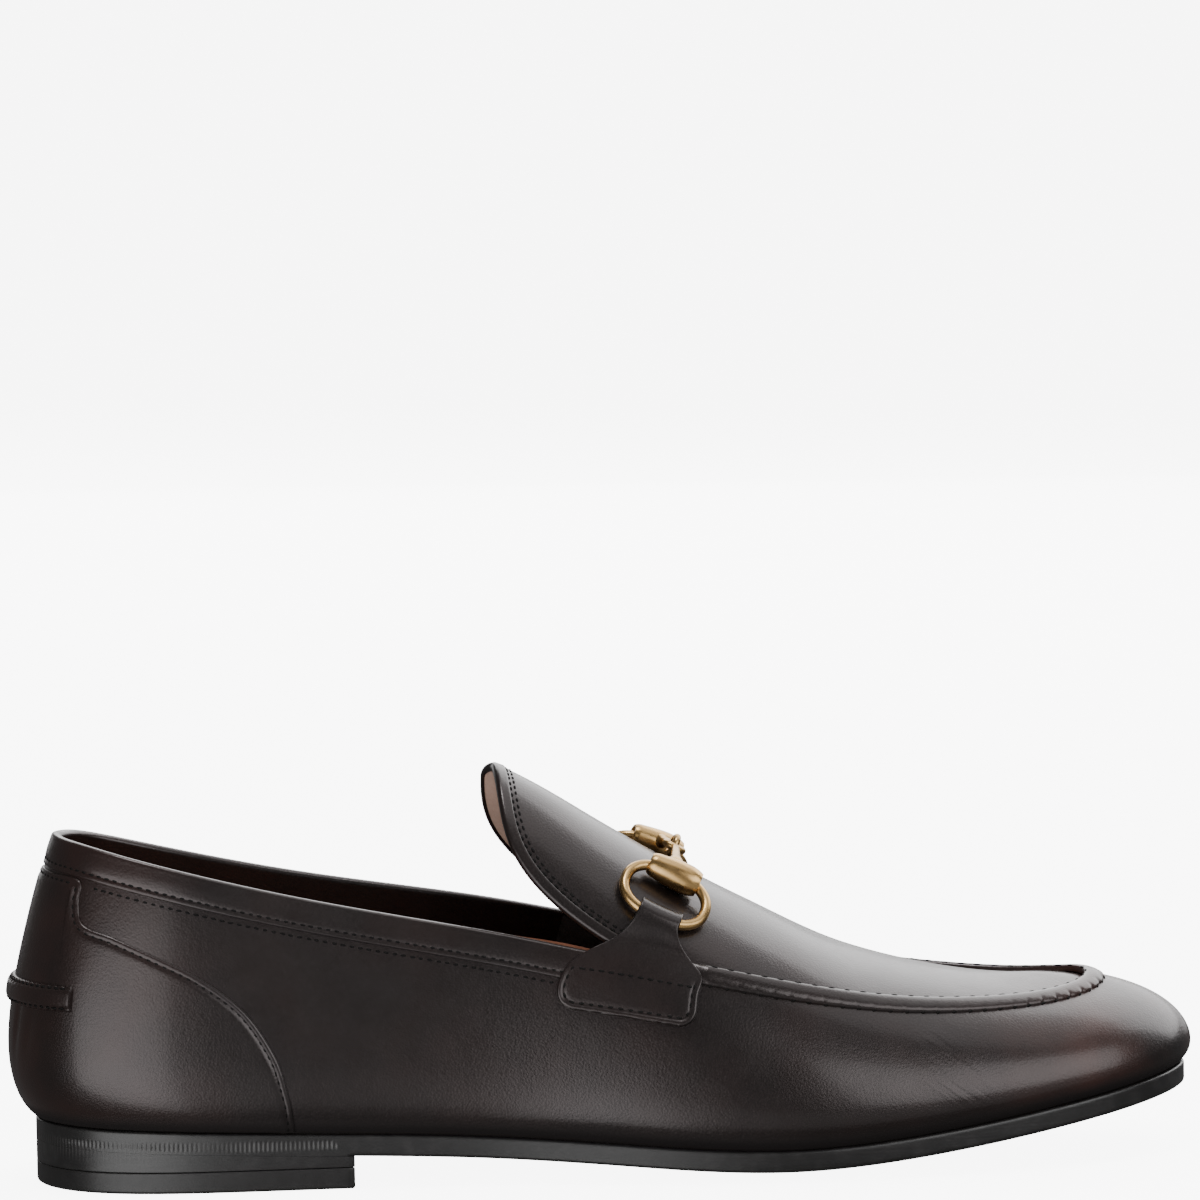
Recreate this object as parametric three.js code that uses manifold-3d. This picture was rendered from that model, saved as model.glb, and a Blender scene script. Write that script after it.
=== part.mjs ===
import * as THREE from 'three';
import { mergeVertices } from 'three/addons/utils/BufferGeometryUtils.js';
import Module from 'manifold-3d';

// A right bit loafer, standing empty on its sole. Millimetres, +X to the toe, -Y to the outer side, +Z up.
// The form is a last: sections stand round it from the heel back, along the outer side, over the toe and back
// along the inner side. A place counts table rows round that loop, and a share runs up one section, from the
// feather line at 0 to the crest at 1.

// Sizes of the last
const lastLength = 296;
const ballWidth = 94;
const instepHeight = 104;
const heelLift = 16.6;
const heelSwell = 6.2;
const swellRise = 22;
const tuckDepth = 1.2;
const tuckRise = 2.2;
const crestEase = 3;
const levelRise = 8;

// Sizes of the upper
const upperWall = 1.8;
const collarBand = 8.2;
const bandStep = 0.7;
const bandBevel = 0.8;
const apronRoll = 5.5;
const apronRollHeight = 1.5;
const apronRollShoulder = 1.05;
const counterThickness = 1.0;
const backStrapWidth = 6.6;
const backStrapThickness = 1.0;
const tabThickness = 1.6;
const tabNeck = 11.2;
const tabFoldReach = 5.5;

// Sizes of the sole and heel
const soleThickness = 5.5;
const soleCamber = 3.2;
const soleEdgeRound = 0.8;
const topLiftThickness = 5.4;
const heelBreast = 78.5;
const heelBreastHollow = 3;
const insoleThickness = 3;

// Sizes of the bit
const bitWire = 2.7;
const bitRingLength = 25.4;
const bitRingWidth = 18.6;
const bitRingSquareness = 2.5;
const bitWireHeight = 2.3;
const bitRingLean = 0.11;
const barrelLength = 13.6;
const barrelDiameter = 7.2;
const barrelEndDiameter = 5.6;
const barrelTipDiameter = 4.6;
const barrelSeat = 0.4;
const armDiameter = 3.2;
const armEndDiameter = 2.1;
const armArch = 1.4;
const eyeDiameter = 6.6;
const eyeWire = 1.9;

// Gap between pieces that touch
const gap = 0.3;

// Colours
const polishedBlack = { color: 0x231e1d, roughness: 0.32, metalness: 0 };
const soleBlack = { color: 0x1b1918, roughness: 0.45, metalness: 0 };
const liningTan = { color: 0x9a6440, roughness: 0.7, metalness: 0 };
const antiqueBrass = { color: 0xb08d57, roughness: 0.3, metalness: 1 };

// Sections of the last, from the heel back to the toe tip. at is a share of the last's length, lateral and
// medial of the ball width, seat of the heel lift; crestAt, crestSide and crest place the top of the section
// in the same way, crest as a share of the instep height. swell and swellUp scale the heel swell and its rise,
// round squares the section, and lateralEdge and medialEdge give the share where the collar or the apron
// seam runs.
const sections = [
  { at: 0, lateral: 0, medial: 0, seat: 1, crestAt: 0.105, crestSide: 0, crest: 1.15,
    swell: 1, swellUp: 1, round: 1, lateralEdge: 0.49, medialEdge: 0.49 },
  { at: 0.03, lateral: 0.225, medial: 0.222, seat: 0.99, crestAt: 0.112, crestSide: 0, crest: 1.15,
    swell: 0.9, swellUp: 0.95, round: 1, lateralEdge: 0.475, medialEdge: 0.475 },
  { at: 0.11, lateral: 0.325, medial: 0.315, seat: 0.94, crestAt: 0.165, crestSide: 0, crest: 1.13,
    swell: 0.62, swellUp: 0.85, round: 0.98, lateralEdge: 0.435, medialEdge: 0.435 },
  { at: 0.24, lateral: 0.33, medial: 0.3, seat: 0.84, crestAt: 0.26, crestSide: 0.01, crest: 1.075,
    swell: 0.45, swellUp: 0.75, round: 0.95, lateralEdge: 0.39, medialEdge: 0.4 },
  { at: 0.38, lateral: 0.345, medial: 0.27, seat: 0.74, crestAt: 0.385, crestSide: 0.02, crest: 1.01,
    swell: 0.45, swellUp: 0.7, round: 0.92, lateralEdge: 0.355, medialEdge: 0.38 },
  { at: 0.51, lateral: 0.425, medial: 0.34, seat: 0.58, crestAt: 0.485, crestSide: 0.03, crest: 0.84,
    swell: 0.48, swellUp: 0.6, round: 0.9, lateralEdge: 0.38, medialEdge: 0.41 },
  { at: 0.63, lateral: 0.485, medial: 0.45, seat: 0.47, crestAt: 0.59, crestSide: 0.03, crest: 0.67,
    swell: 0.45, swellUp: 0.5, round: 0.88, lateralEdge: 0.43, medialEdge: 0.47 },
  { at: 0.75, lateral: 0.45, medial: 0.47, seat: 0.63, crestAt: 0.695, crestSide: 0.03, crest: 0.527,
    swell: 0.38, swellUp: 0.4, round: 0.82, lateralEdge: 0.475, medialEdge: 0.56 },
  { at: 0.86, lateral: 0.37, medial: 0.41, seat: 0.9, crestAt: 0.785, crestSide: 0.035, crest: 0.457,
    swell: 0.34, swellUp: 0.32, round: 0.76, lateralEdge: 0.55, medialEdge: 0.65 },
  { at: 0.95, lateral: 0.225, medial: 0.285, seat: 1.15, crestAt: 0.832, crestSide: 0.04, crest: 0.438,
    swell: 0.34, swellUp: 0.3, round: 0.7, lateralEdge: 0.63, medialEdge: 0.71 },
  { at: 1, lateral: -0.05, medial: 0.05, seat: 1.27, crestAt: 0.845, crestSide: 0.045, crest: 0.437,
    swell: 0.34, swellUp: 0.3, round: 0.67, lateralEdge: 0.7, medialEdge: 0.7 },
];
const toe = sections.length - 1;
const loop = 2 * toe;
const stepsPerRow = 4;

// Half of the counter's outline, from the heel back to its front end. base is the place at the feather line
// and place and share give the outline; band marks the rows that run just under the collar band.
const counterOutline = [
  { base: 0, place: 0, share: 0, band: true },
  { base: 0.5, place: 0.5, share: 0, band: true },
  { base: 1, place: 1, share: 0, band: true },
  { base: 1.12, place: 1.05, share: 0.365, band: false },
  { base: 1.3, place: 1.15, share: 0.33, band: false },
  { base: 1.6, place: 1.52, share: 0.309, band: false },
  { base: 2, place: 1.96, share: 0.274, band: false },
  { base: 2.3, place: 2.26, share: 0.241, band: false },
  { base: 2.55, place: 2.53, share: 0.192, band: false },
  { base: 2.73, place: 2.72, share: 0.122, band: false },
  { base: 2.8, place: 2.8, share: 0.06, band: false },
];

// Outline of a strap tab below its neck, from the lower edge up, as places and shares of its back and front
// edges
const tabOutline = [
  { back: 4.52, backShare: 0.231, front: 5.28, frontShare: 0.25 },
  { back: 4.44, backShare: 0.245, front: 5.35, frontShare: 0.268 },
  { back: 4.46, backShare: 0.285, front: 5.42, frontShare: 0.335 },
  { back: 4.56, backShare: 0.335, front: 5.47, frontShare: 0.39 },
  { back: 4.82, backShare: 0.408, front: 5.4, frontShare: 0.432 },
];

// Rows of a tab's neck, from its foot over the ring's lower bar: reach past the bar as a share of the fold's
// reach, and rise as a share of the fold's height
const neckRows = [
  { reach: -1, rise: 0.49 },
  { reach: -0.5, rise: 0.8 },
  { reach: 0, rise: 1 },
  { reach: 0.55, rise: 0.86 },
  { reach: 0.85, rise: 0.5 },
];

// Places round the loop
const tongueTip = 4.16;
const tongueRoot = 5.1;
const bandFade = 4;
const bandEnd = 4.4;
const rollStart = 5.45;
const rollFull = 5.7;
const bitPlace = 5.3;
const bitShares = { lateral: 0.62, medial: 0.68 };
const bitTurn = THREE.MathUtils.degToRad(22);
const eyePlace = 5.6;
const backStrapEnd = 1.12;
const backStrapShare = 0.206;
const counterFoot = 0.02;

const mix = THREE.MathUtils.lerp;
const rise01 = (value, from, to) => THREE.MathUtils.smoothstep(value, from, to);
const forward = new THREE.Vector3(1, 0, 0);
const counted = (count, make) => Array.from({ length: count }, (_, index) => make(index));

// A smooth curve through one column of the table, all round the loop: a periodic cubic B-spline
function aroundLoop(outerSide, innerSide = outerSide, sign = 1) {
  const values = sections.map((row) => sign * row[outerSide]);
  for (let row = toe - 1; row > 0; row -= 1) values.push(sections[row][innerSide]);
  const at = (index) => values[(index + 2 * loop) % loop];
  const poles = values.map((value, index) => (8 * value - at(index - 1) - at(index + 1)) / 6);
  return (place) => {
    const cell = Math.floor(place);
    const t = place - cell;
    const weights = [
      (1 - t) ** 3,
      3 * t ** 3 - 6 * t ** 2 + 4,
      -3 * t ** 3 + 3 * t ** 2 + 3 * t + 1,
      t ** 3,
    ];
    const pole = (offset) => poles[(cell + offset + 2 * loop) % loop];
    return weights.reduce((sum, weight, index) => sum + weight * pole(index - 1), 0) / 6;
  };
}

const form = {
  at: aroundLoop('at'),
  side: aroundLoop('lateral', 'medial', -1),
  seat: aroundLoop('seat'),
  crestAt: aroundLoop('crestAt'),
  crestSide: aroundLoop('crestSide'),
  crest: aroundLoop('crest'),
  swell: aroundLoop('swell'),
  swellUp: aroundLoop('swellUp'),
  round: aroundLoop('round'),
  edge: aroundLoop('lateralEdge', 'medialEdge'),
};

// Distance of a place from the heel back, counted on either side
const fromHeel = (place) => {
  const turned = ((place % loop) + loop) % loop;
  return Math.min(turned, loop - turned);
};

function footPoint(place) {
  return new THREE.Vector3(
    lastLength * form.at(place),
    ballWidth * form.side(place),
    heelLift * form.seat(place),
  );
}

function crestPoint(place) {
  return new THREE.Vector3(
    lastLength * form.crestAt(place),
    ballWidth * form.crestSide(place),
    instepHeight * form.crest(place),
  );
}

// Slope of the crest line, eased to level at the toe and the heel back, where the line turns round
function crestSlope(place) {
  const step = 0.05;
  const change = crestPoint(place + step).sub(crestPoint(place - step)).divideScalar(2 * step);
  return change.z * change.x / (change.x ** 2 + crestEase ** 2);
}

// The outside of the last: a quarter ellipse up each section, swelled out over the feather line, tucked in at
// the feather line itself, and lowered beside the crest so that both sides meet in one smooth line there
function formPoint(place, share) {
  const foot = footPoint(place);
  const span = crestPoint(place).sub(foot);
  const reach = Math.hypot(span.x, span.y);
  const angle = share * Math.PI / 2;
  const sine = Math.sin(angle);
  const rise = span.z * sine ** form.round(place);
  const swellShare = rise / (swellRise * form.swellUp(place));
  const swell = heelSwell * form.swell(place) * swellShare * Math.exp(1 - swellShare);
  const tuck = tuckDepth * Math.exp(-rise / tuckRise);
  const inward = reach * (1 - Math.cos(angle)) - swell + tuck;
  const lowered = crestSlope(place) * span.x * Math.cos(angle) * sine ** 4;
  return new THREE.Vector3(
    foot.x + span.x / reach * inward,
    foot.y + span.y / reach * inward,
    foot.z + rise - lowered,
  );
}

function alongPlace(place, share) {
  const step = 0.02;
  return formPoint(place + step, share).sub(formPoint(place - step, share)).divideScalar(2 * step);
}

function alongShare(place, share) {
  const step = 0.004;
  const high = Math.min(share + step, 1);
  const low = Math.max(share - step, 0);
  return formPoint(place, high).sub(formPoint(place, low)).divideScalar(high - low);
}

function outwardAt(place, share) {
  return alongPlace(place, share).cross(alongShare(place, share)).normalize();
}

// A point lifted off the form. Near the feather line the lift turns level, so that edges there stay on the
// sole.
function liftedPoint(place, share, lift) {
  const point = formPoint(place, share);
  const outward = outwardAt(place, share);
  const footZ = heelLift * form.seat(place);
  outward.z *= Math.min(1, (point.z - footZ) / levelRise);
  return point.addScaledVector(outward.normalize(), lift);
}

const shareOver = (place, share, length) => share + length / alongShare(place, share).length();

function triangleGeometry(points, triangles) {
  const geometry = new THREE.BufferGeometry();
  geometry.setAttribute('position', new THREE.Float32BufferAttribute(points.flatMap((p) => p.toArray()), 3));
  geometry.setIndex(triangles);
  return geometry;
}

// A skin of triangles from grids of points. Points that fall together are one, so grids join where their
// edges meet, and a row of one point closes a pole.
class Skin {
  constructor() {
    this.points = [];
    this.faces = [];
    this.seen = new Map();
  }

  vertex(point) {
    const key = point.toArray().map((value) => Math.round(value * 1000)).join();
    if (!this.seen.has(key)) {
      this.seen.set(key, this.points.length);
      this.points.push(point);
    }
    return this.seen.get(key);
  }

  face(a, b, c) {
    if (a !== b && b !== c && c !== a) this.faces.push([a, b, c]);
  }

  // columns run round the loop, and each holds points from the bottom up
  grid(columns, closed = false) {
    const net = columns.map((column) => column.map((point) => this.vertex(point)));
    const last = closed ? net.length : net.length - 1;
    for (let i = 0; i < last; i += 1) {
      const here = net[i];
      const next = net[(i + 1) % net.length];
      for (let j = 0; j + 1 < here.length; j += 1) {
        this.face(here[j], next[j], next[j + 1]);
        this.face(here[j], next[j + 1], here[j + 1]);
      }
    }
    return this;
  }

  geometry() {
    return triangleGeometry(this.points, this.faces.flat());
  }
}

// A closed wall: each point of its outer skin has a partner on the inner one, both skins share one list of
// faces, and each open edge gets a rim
class Wall extends Skin {
  constructor() {
    super();
    this.inner = [];
  }

  vertex([outer, inner]) {
    const index = super.vertex(outer);
    if (index === this.inner.length) this.inner.push(inner);
    return index;
  }

  geometry() {
    const count = this.points.length;
    const edgesOf = ([a, b, c]) => [[a, b], [b, c], [c, a]];
    const directed = new Set(this.faces.flatMap(edgesOf).map(([a, b]) => `${a} ${b}`));
    const triangles = this.faces.flatMap(([a, b, c]) => [a, b, c, count + c, count + b, count + a]);
    this.faces.flatMap(edgesOf).forEach(([a, b]) => {
      if (directed.has(`${b} ${a}`)) return;
      triangles.push(b, a, count + a);
      triangles.push(b, count + a, count + b);
    });
    return triangleGeometry([...this.points, ...this.inner], triangles);
  }
}

// Solid joins and cuts
const wasm = await Module();
wasm.setup();

function toSolid(geometry) {
  const bare = geometry.clone();
  bare.deleteAttribute('normal');
  bare.deleteAttribute('uv');
  const merged = mergeVertices(bare, 1e-4);
  return new wasm.Manifold(new wasm.Mesh({
    numProp: 3,
    vertProperties: new Float32Array(merged.attributes.position.array),
    triVerts: new Uint32Array(merged.index.array),
  }));
}

function toGeometry(solid) {
  const mesh = solid.getMesh();
  const geometry = new THREE.BufferGeometry();
  geometry.setAttribute('position', new THREE.Float32BufferAttribute(mesh.vertProperties, 3));
  geometry.setIndex(Array.from(mesh.triVerts));
  return geometry;
}

const group = new THREE.Group();

function addPiece(name, geometry, look) {
  const mesh = new THREE.Mesh(geometry, new THREE.MeshStandardMaterial(look));
  mesh.name = name;
  group.add(mesh);
}

// Places of the sections that the pieces are built on, with one at each root of the tongue
const roots = [tongueRoot, loop - tongueRoot];
const loopPlaces = counted(loop * stepsPerRow, (index) => index / stepsPerRow)
  .filter((place) => roots.every((root) => Math.abs(place - root) > 0.5 / stepsPerRow))
  .concat(roots)
  .sort((one, other) => one - other);

// Upper: the wall goes right round, from the feather line to the collar or the apron seam
const wallShares = [0, 0.05, 0.12, 0.2, 0.3, 0.43, 0.58, 0.77];

function wallColumn(place) {
  const along = fromHeel(place);
  const edge = form.edge(place);
  const rolled = rise01(along, rollStart, rollFull);
  const banded = 1 - rise01(along, bandFade, bandEnd);
  const stepFoot = shareOver(place, edge, -mix(collarBand + bandBevel, apronRoll / 2, rolled));
  const stepHead = shareOver(place, edge, -mix(collarBand, apronRoll / 4, rolled));
  const rows = wallShares.map((share) => [share * stepFoot, 0]);
  rows.push([stepFoot, 0]);
  rows.push([stepHead, bandStep * banded + apronRollShoulder * rolled]);
  rows.push([edge, bandStep * banded + apronRollHeight * rolled]);
  return rows.map(([share, lift]) => wallPair(place, share, lift));
}

const wallPair = (place, share, lift) => [
  liftedPoint(place, share, lift),
  liftedPoint(place, share, -upperWall),
];

// The apron and the tongue lie between the seam lines and the crest. The tongue's edge curls from its root
// to a straight tip, as the shape of a squared ellipse between them. A reach runs from 0 at the crest to 1 at
// the root, and the columns that follow the edge stand at the reaches listed.
const tongueCurl = 7;
const tongueLean = 1.15;
const tipReach = 0.5;
const tongueReaches = [0.66, 0.77, 0.86, 0.92, 0.96, 0.985];

function tonguePlace(reach) {
  return mix(tongueRoot, tongueTip, (1 - reach ** tongueCurl) ** (1 / tongueLean));
}

function apronColumn(placeAt, edge, rolled, mirrored) {
  const at = (share) => (mirrored && share < 1 ? loop - placeAt(share) : placeAt(share));
  const inner = [0.25, 0.5, 0.75, 1];
  const rollHalf = shareOver(at(edge), edge, apronRoll / 4);
  const rollFoot = shareOver(at(edge), edge, apronRoll / 2);
  const rows = [
    [edge, apronRollHeight * rolled],
    [rollHalf, apronRollShoulder * rolled],
    [rollFoot, 0],
    ...inner.map((part) => [mix(rollFoot, 1, part), 0]),
  ];
  return rows.map(([share, lift]) => wallPair(at(share), share, lift));
}

function apronColumns(mirrored) {
  const rootShare = form.edge(mirrored ? loop - tongueRoot : tongueRoot);
  const reachOf = (share) => (1 - share) / (1 - rootShare);
  const shareOf = (reach) => 1 - reach * (1 - rootShare);
  const columns = [apronColumn((share) => tonguePlace(reachOf(share)), shareOf(tipReach), 0, mirrored)];
  tongueReaches.forEach((reach) => {
    columns.push(apronColumn(() => tonguePlace(reach), shareOf(reach), 0, mirrored));
  });
  loopPlaces.filter((place) => place >= tongueRoot && place <= toe).forEach((place) => {
    const edge = form.edge(mirrored ? loop - place : place);
    columns.push(apronColumn(() => place, edge, rise01(place, rollStart, rollFull), mirrored));
  });
  return columns;
}

const upper = new Wall();
upper.grid(loopPlaces.map(wallColumn), true);
upper.grid([...apronColumns(false), ...apronColumns(true).reverse().slice(1)]);

// Place on the outer side whose foot stands at a length from the heel back
function placeAtLength(x) {
  let low = 0;
  let high = toe;
  for (let turn = 0; turn < 30; turn += 1) {
    const middle = (low + high) / 2;
    if (lastLength * form.at(middle) < x) low = middle;
    else high = middle;
  }
  return (low + high) / 2;
}

// Height of the bed that the upper and the insole stand on, at a length from the heel back
const bedHeight = (x) => heelLift * form.seat(placeAtLength(x));

// The line that the sole's rings close on runs down the middle of the foot
function middlePoint(place) {
  const heelEnd = 0.1;
  const toeEnd = 0.9;
  return new THREE.Vector3(
    lastLength * mix(heelEnd, toeEnd, form.at(place)),
    ballWidth * (form.side(place) + form.side(loop - place)) / 2,
    0,
  );
}

// Rings from an outline, ring share 1, to the middle line, ring share 0
function ringColumn(place, outline, rings, heightAt) {
  const middle = middlePoint(place);
  return rings.map((ring) => {
    const point = middle.clone().lerp(outline, ring);
    point.z = heightAt(point.x, ring, place);
    return point;
  });
}

// A point of the outline at a place, moved in level by an inset
function movedIn(point, place, inset) {
  const outward = outwardAt(place, 0).setZ(0).normalize();
  return point.addScaledVector(outward, -inset);
}

const soleEdge = (place, inset) => movedIn(footPoint(place), place, inset);

// Outsole: level across its top, cambered below, and pressed flat on the ground under the ball
const camberFrom = 3.2;
const camberFull = 5.6;
const soleRings = [1, 0.7, 0.35, 0];

function soleUnderside(x, ring, place) {
  const camber = soleCamber * rise01(fromHeel(place), camberFrom, camberFull);
  return Math.max(0, bedHeight(x) - soleThickness - camber * (1 - ring ** 2));
}

function soleColumn(place) {
  const topZ = footPoint(place).z - gap;
  const bottomZ = soleUnderside(footPoint(place).x, 1, place);
  const shoulder = soleEdge(place, soleEdgeRound);
  const side = soleEdge(place, 0);
  const under = ringColumn(place, shoulder, soleRings, soleUnderside);
  const top = ringColumn(place, shoulder, [1, 0.5, 0], (x) => bedHeight(x) - gap);
  return [
    ...under.reverse(),
    side.clone().setZ(bottomZ + soleEdgeRound),
    side.clone().setZ(topZ - soleEdgeRound),
    ...top,
  ];
}

const outsole = new Skin();
outsole.grid(loopPlaces.map(soleColumn), true);

// Heel: a block under the back of the sole, with a hollow breast
const heelRows = 10;
const heelColumns = 6;

function heelLayer(bottomAt, topAt) {
  const breastPlace = placeAtLength(heelBreast);
  const pointAt = (row, column, heightAt) => {
    const place = breastPlace * row / heelRows;
    const across = column / heelColumns;
    const point = soleEdge(place, 0).lerp(soleEdge(loop - place, 0), across);
    const hollow = heelBreastHollow * (row / heelRows) ** 4 * (1 - (2 * across - 1) ** 2);
    point.x -= hollow;
    point.z = heightAt(point.x);
    return point;
  };
  const lengthwise = (column, heightAt) => counted(heelRows + 1, (row) => pointAt(row, column, heightAt));
  const upright = (row, column) => [bottomAt, topAt].map((heightAt) => pointAt(row, column, heightAt));
  const skin = new Skin();
  skin.grid(counted(heelColumns + 1, (column) => lengthwise(column, bottomAt)));
  skin.grid(counted(heelColumns + 1, (column) => lengthwise(heelColumns - column, topAt)));
  skin.grid(counted(heelRows + 1, (row) => upright(row, 0)));
  skin.grid(counted(heelRows + 1, (row) => upright(heelRows - row, heelColumns)));
  skin.grid(counted(heelColumns + 1, (column) => upright(heelRows, column)));
  return skin.geometry();
}

// Insole: lies on the outsole, inside the upper
const insoleRings = [1, 0.5, 0];

function insoleColumn(place) {
  const outline = movedIn(formPoint(place, 0), place, upperWall + gap);
  const bottom = ringColumn(place, outline, insoleRings, (x) => bedHeight(x));
  const top = ringColumn(place, outline, insoleRings, (x) => bedHeight(x) + insoleThickness);
  return [...bottom.reverse(), ...top];
}

const insole = new Skin();
insole.grid(loopPlaces.map(insoleColumn), true);

// A leather piece laid over the upper, between two heights off the form
function overlayPair(place, share, from, thickness) {
  return [liftedPoint(place, share, from + thickness), liftedPoint(place, share, from)];
}

// Heel counter: right round the heel, up to the collar band at the back
function counterGeometry() {
  const half = counterOutline.map((row) => {
    const top = row.band
      ? shareOver(row.place, form.edge(row.place), -(collarBand + bandBevel + gap))
      : row.share;
    return new THREE.Vector3(row.base, row.place, top);
  });
  const mirrored = half.slice(1).reverse().map((row) => new THREE.Vector3(-row.x, -row.y, row.z));
  const outline = new THREE.CatmullRomCurve3([...mirrored, ...half], false, 'catmullrom', 0.5);
  const spans = 2 * (outline.points.length - 1);
  const columns = counted(spans + 1, (station) => {
    const { x: base, y: head, z: top } = outline.getPoint(station / spans);
    return [...wallShares, 1].map((part) => {
      const place = mix(base, head, part) + loop;
      return overlayPair(place, mix(counterFoot, top, part), gap, counterThickness);
    });
  });
  return new Wall().grid(columns).geometry();
}

// Back strap: over the counter, across the heel back
function backStrapGeometry() {
  const count = 16;
  const from = gap + counterThickness + gap;
  const columns = counted(count + 1, (index) => {
    const place = loop + mix(-backStrapEnd, backStrapEnd, index / count);
    return [-0.5, 0, 0.5].map((part) => {
      const share = shareOver(place, backStrapShare, part * backStrapWidth);
      return overlayPair(place, share, from, backStrapThickness);
    });
  });
  return new Wall().grid(columns).geometry();
}

// Frame of the bit on one side: its middle on the form, along the ring, up the side and outward. The ring is
// turned about the outward direction, down at the front.
function bitFrame(side) {
  const place = side === 'lateral' ? bitPlace : loop - bitPlace;
  const share = bitShares[side];
  const outward = outwardAt(place, share);
  const level = forward.clone().addScaledVector(outward, -outward.x).normalize();
  const upward = alongShare(place, share);
  upward.addScaledVector(level, -upward.dot(level)).normalize();
  const ahead = level.clone().multiplyScalar(Math.cos(bitTurn)).addScaledVector(upward, -Math.sin(bitTurn));
  const rising = upward.clone().multiplyScalar(Math.cos(bitTurn)).addScaledVector(level, Math.sin(bitTurn));
  const leaned = rising.clone().addScaledVector(outward, bitRingLean).normalize();
  const middle = formPoint(place, share).addScaledVector(outward, bitWireHeight);
  const face = ahead.clone().cross(leaned).normalize();
  if (face.dot(outward) < 0) face.negate();
  return { place, share, middle, ahead, rising: leaned, outward: face };
}

// Place and share reached by a short move over the form, by least squares on its two directions
function movedOver(place, share, move) {
  const target = formPoint(place, share).add(move);
  let reached = { place, share };
  for (let turn = 0; turn < 3; turn += 1) {
    const ahead = alongPlace(reached.place, reached.share);
    const up = alongShare(reached.place, reached.share);
    const missing = target.clone().sub(formPoint(reached.place, reached.share));
    const spread = ahead.lengthSq() * up.lengthSq() - ahead.dot(up) ** 2;
    const placeMove = (missing.dot(ahead) * up.lengthSq() - missing.dot(up) * ahead.dot(up)) / spread;
    const shareMove = (missing.dot(up) * ahead.lengthSq() - missing.dot(ahead) * ahead.dot(up)) / spread;
    reached = { place: reached.place + placeMove, share: reached.share + shareMove };
  }
  return reached;
}

// A round bar along stations, each with its middle, its two cross directions and a radius; closed or capped
function barSkin(stations, sides, closed) {
  const rings = stations.map(({ middle, across, over, radius }) => counted(sides, (index) => {
    const angle = 2 * Math.PI * index / sides;
    return middle.clone()
      .addScaledVector(across, radius * Math.cos(angle))
      .addScaledVector(over, radius * Math.sin(angle));
  }));
  const columns = counted(sides, (index) => {
    const column = rings.map((ring) => ring[index]);
    return closed ? [...column, column[0]] : [stations[0].middle, ...column, stations.at(-1).middle];
  });
  const skin = new Skin().grid(columns, true);
  return toSolid(outwardFaces(skin.geometry()));
}

// Turns a closed skin's faces to the outside if they point in
function outwardFaces(geometry) {
  const position = geometry.attributes.position;
  const index = Array.from(geometry.index.array);
  const corner = (i) => new THREE.Vector3().fromBufferAttribute(position, index[i]);
  let volume = 0;
  for (let i = 0; i < index.length; i += 3) {
    volume += corner(i).dot(corner(i + 1).cross(corner(i + 2)));
  }
  if (volume < 0) geometry.setIndex(index.reverse());
  return geometry;
}

// Ring: a squared oval of wire that lies against the side of the vamp
function ringBar(frame, radius) {
  const count = 26;
  const halfLength = (bitRingLength - bitWire) / 2;
  const halfWidth = (bitRingWidth - bitWire) / 2;
  const squared = (value) => Math.sign(value) * Math.abs(value) ** (2 / bitRingSquareness);
  const pointAt = (index) => {
    const angle = 2 * Math.PI * index / count;
    return frame.middle.clone()
      .addScaledVector(frame.ahead, halfLength * squared(Math.cos(angle)))
      .addScaledVector(frame.rising, halfWidth * squared(Math.sin(angle)));
  };
  const stations = counted(count, (index) => {
    const along = pointAt(index + 0.5).sub(pointAt(index - 0.5)).normalize();
    const across = along.clone().cross(frame.outward);
    return { middle: pointAt(index), across, over: frame.outward, radius };
  });
  return barSkin(stations, 8, true);
}

function straightBar(from, to, radii, over, sides) {
  const along = to.clone().sub(from).normalize();
  const across = along.clone().cross(over).normalize();
  const trueOver = across.clone().cross(along);
  const stations = radii.map((radius, index) => ({
    middle: from.clone().lerp(to, index / (radii.length - 1)),
    across,
    over: trueOver,
    radius,
  }));
  return barSkin(stations, sides, false);
}

// Middle of a link's eye, over the crest. The two eyes hook through each other, one level and one upright.
function eyeFrame(side) {
  const sign = side === 'lateral' ? -1 : 1;
  const crest = crestPoint(eyePlace);
  const above = outwardAt(eyePlace, 1);
  const hooked = eyeDiameter / 2 - eyeWire - gap / 2;
  const lift = gap + eyeDiameter / 2;
  const middle = crest.addScaledVector(above, lift);
  middle.y += sign * hooked;
  return { middle, above, sign };
}

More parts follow.
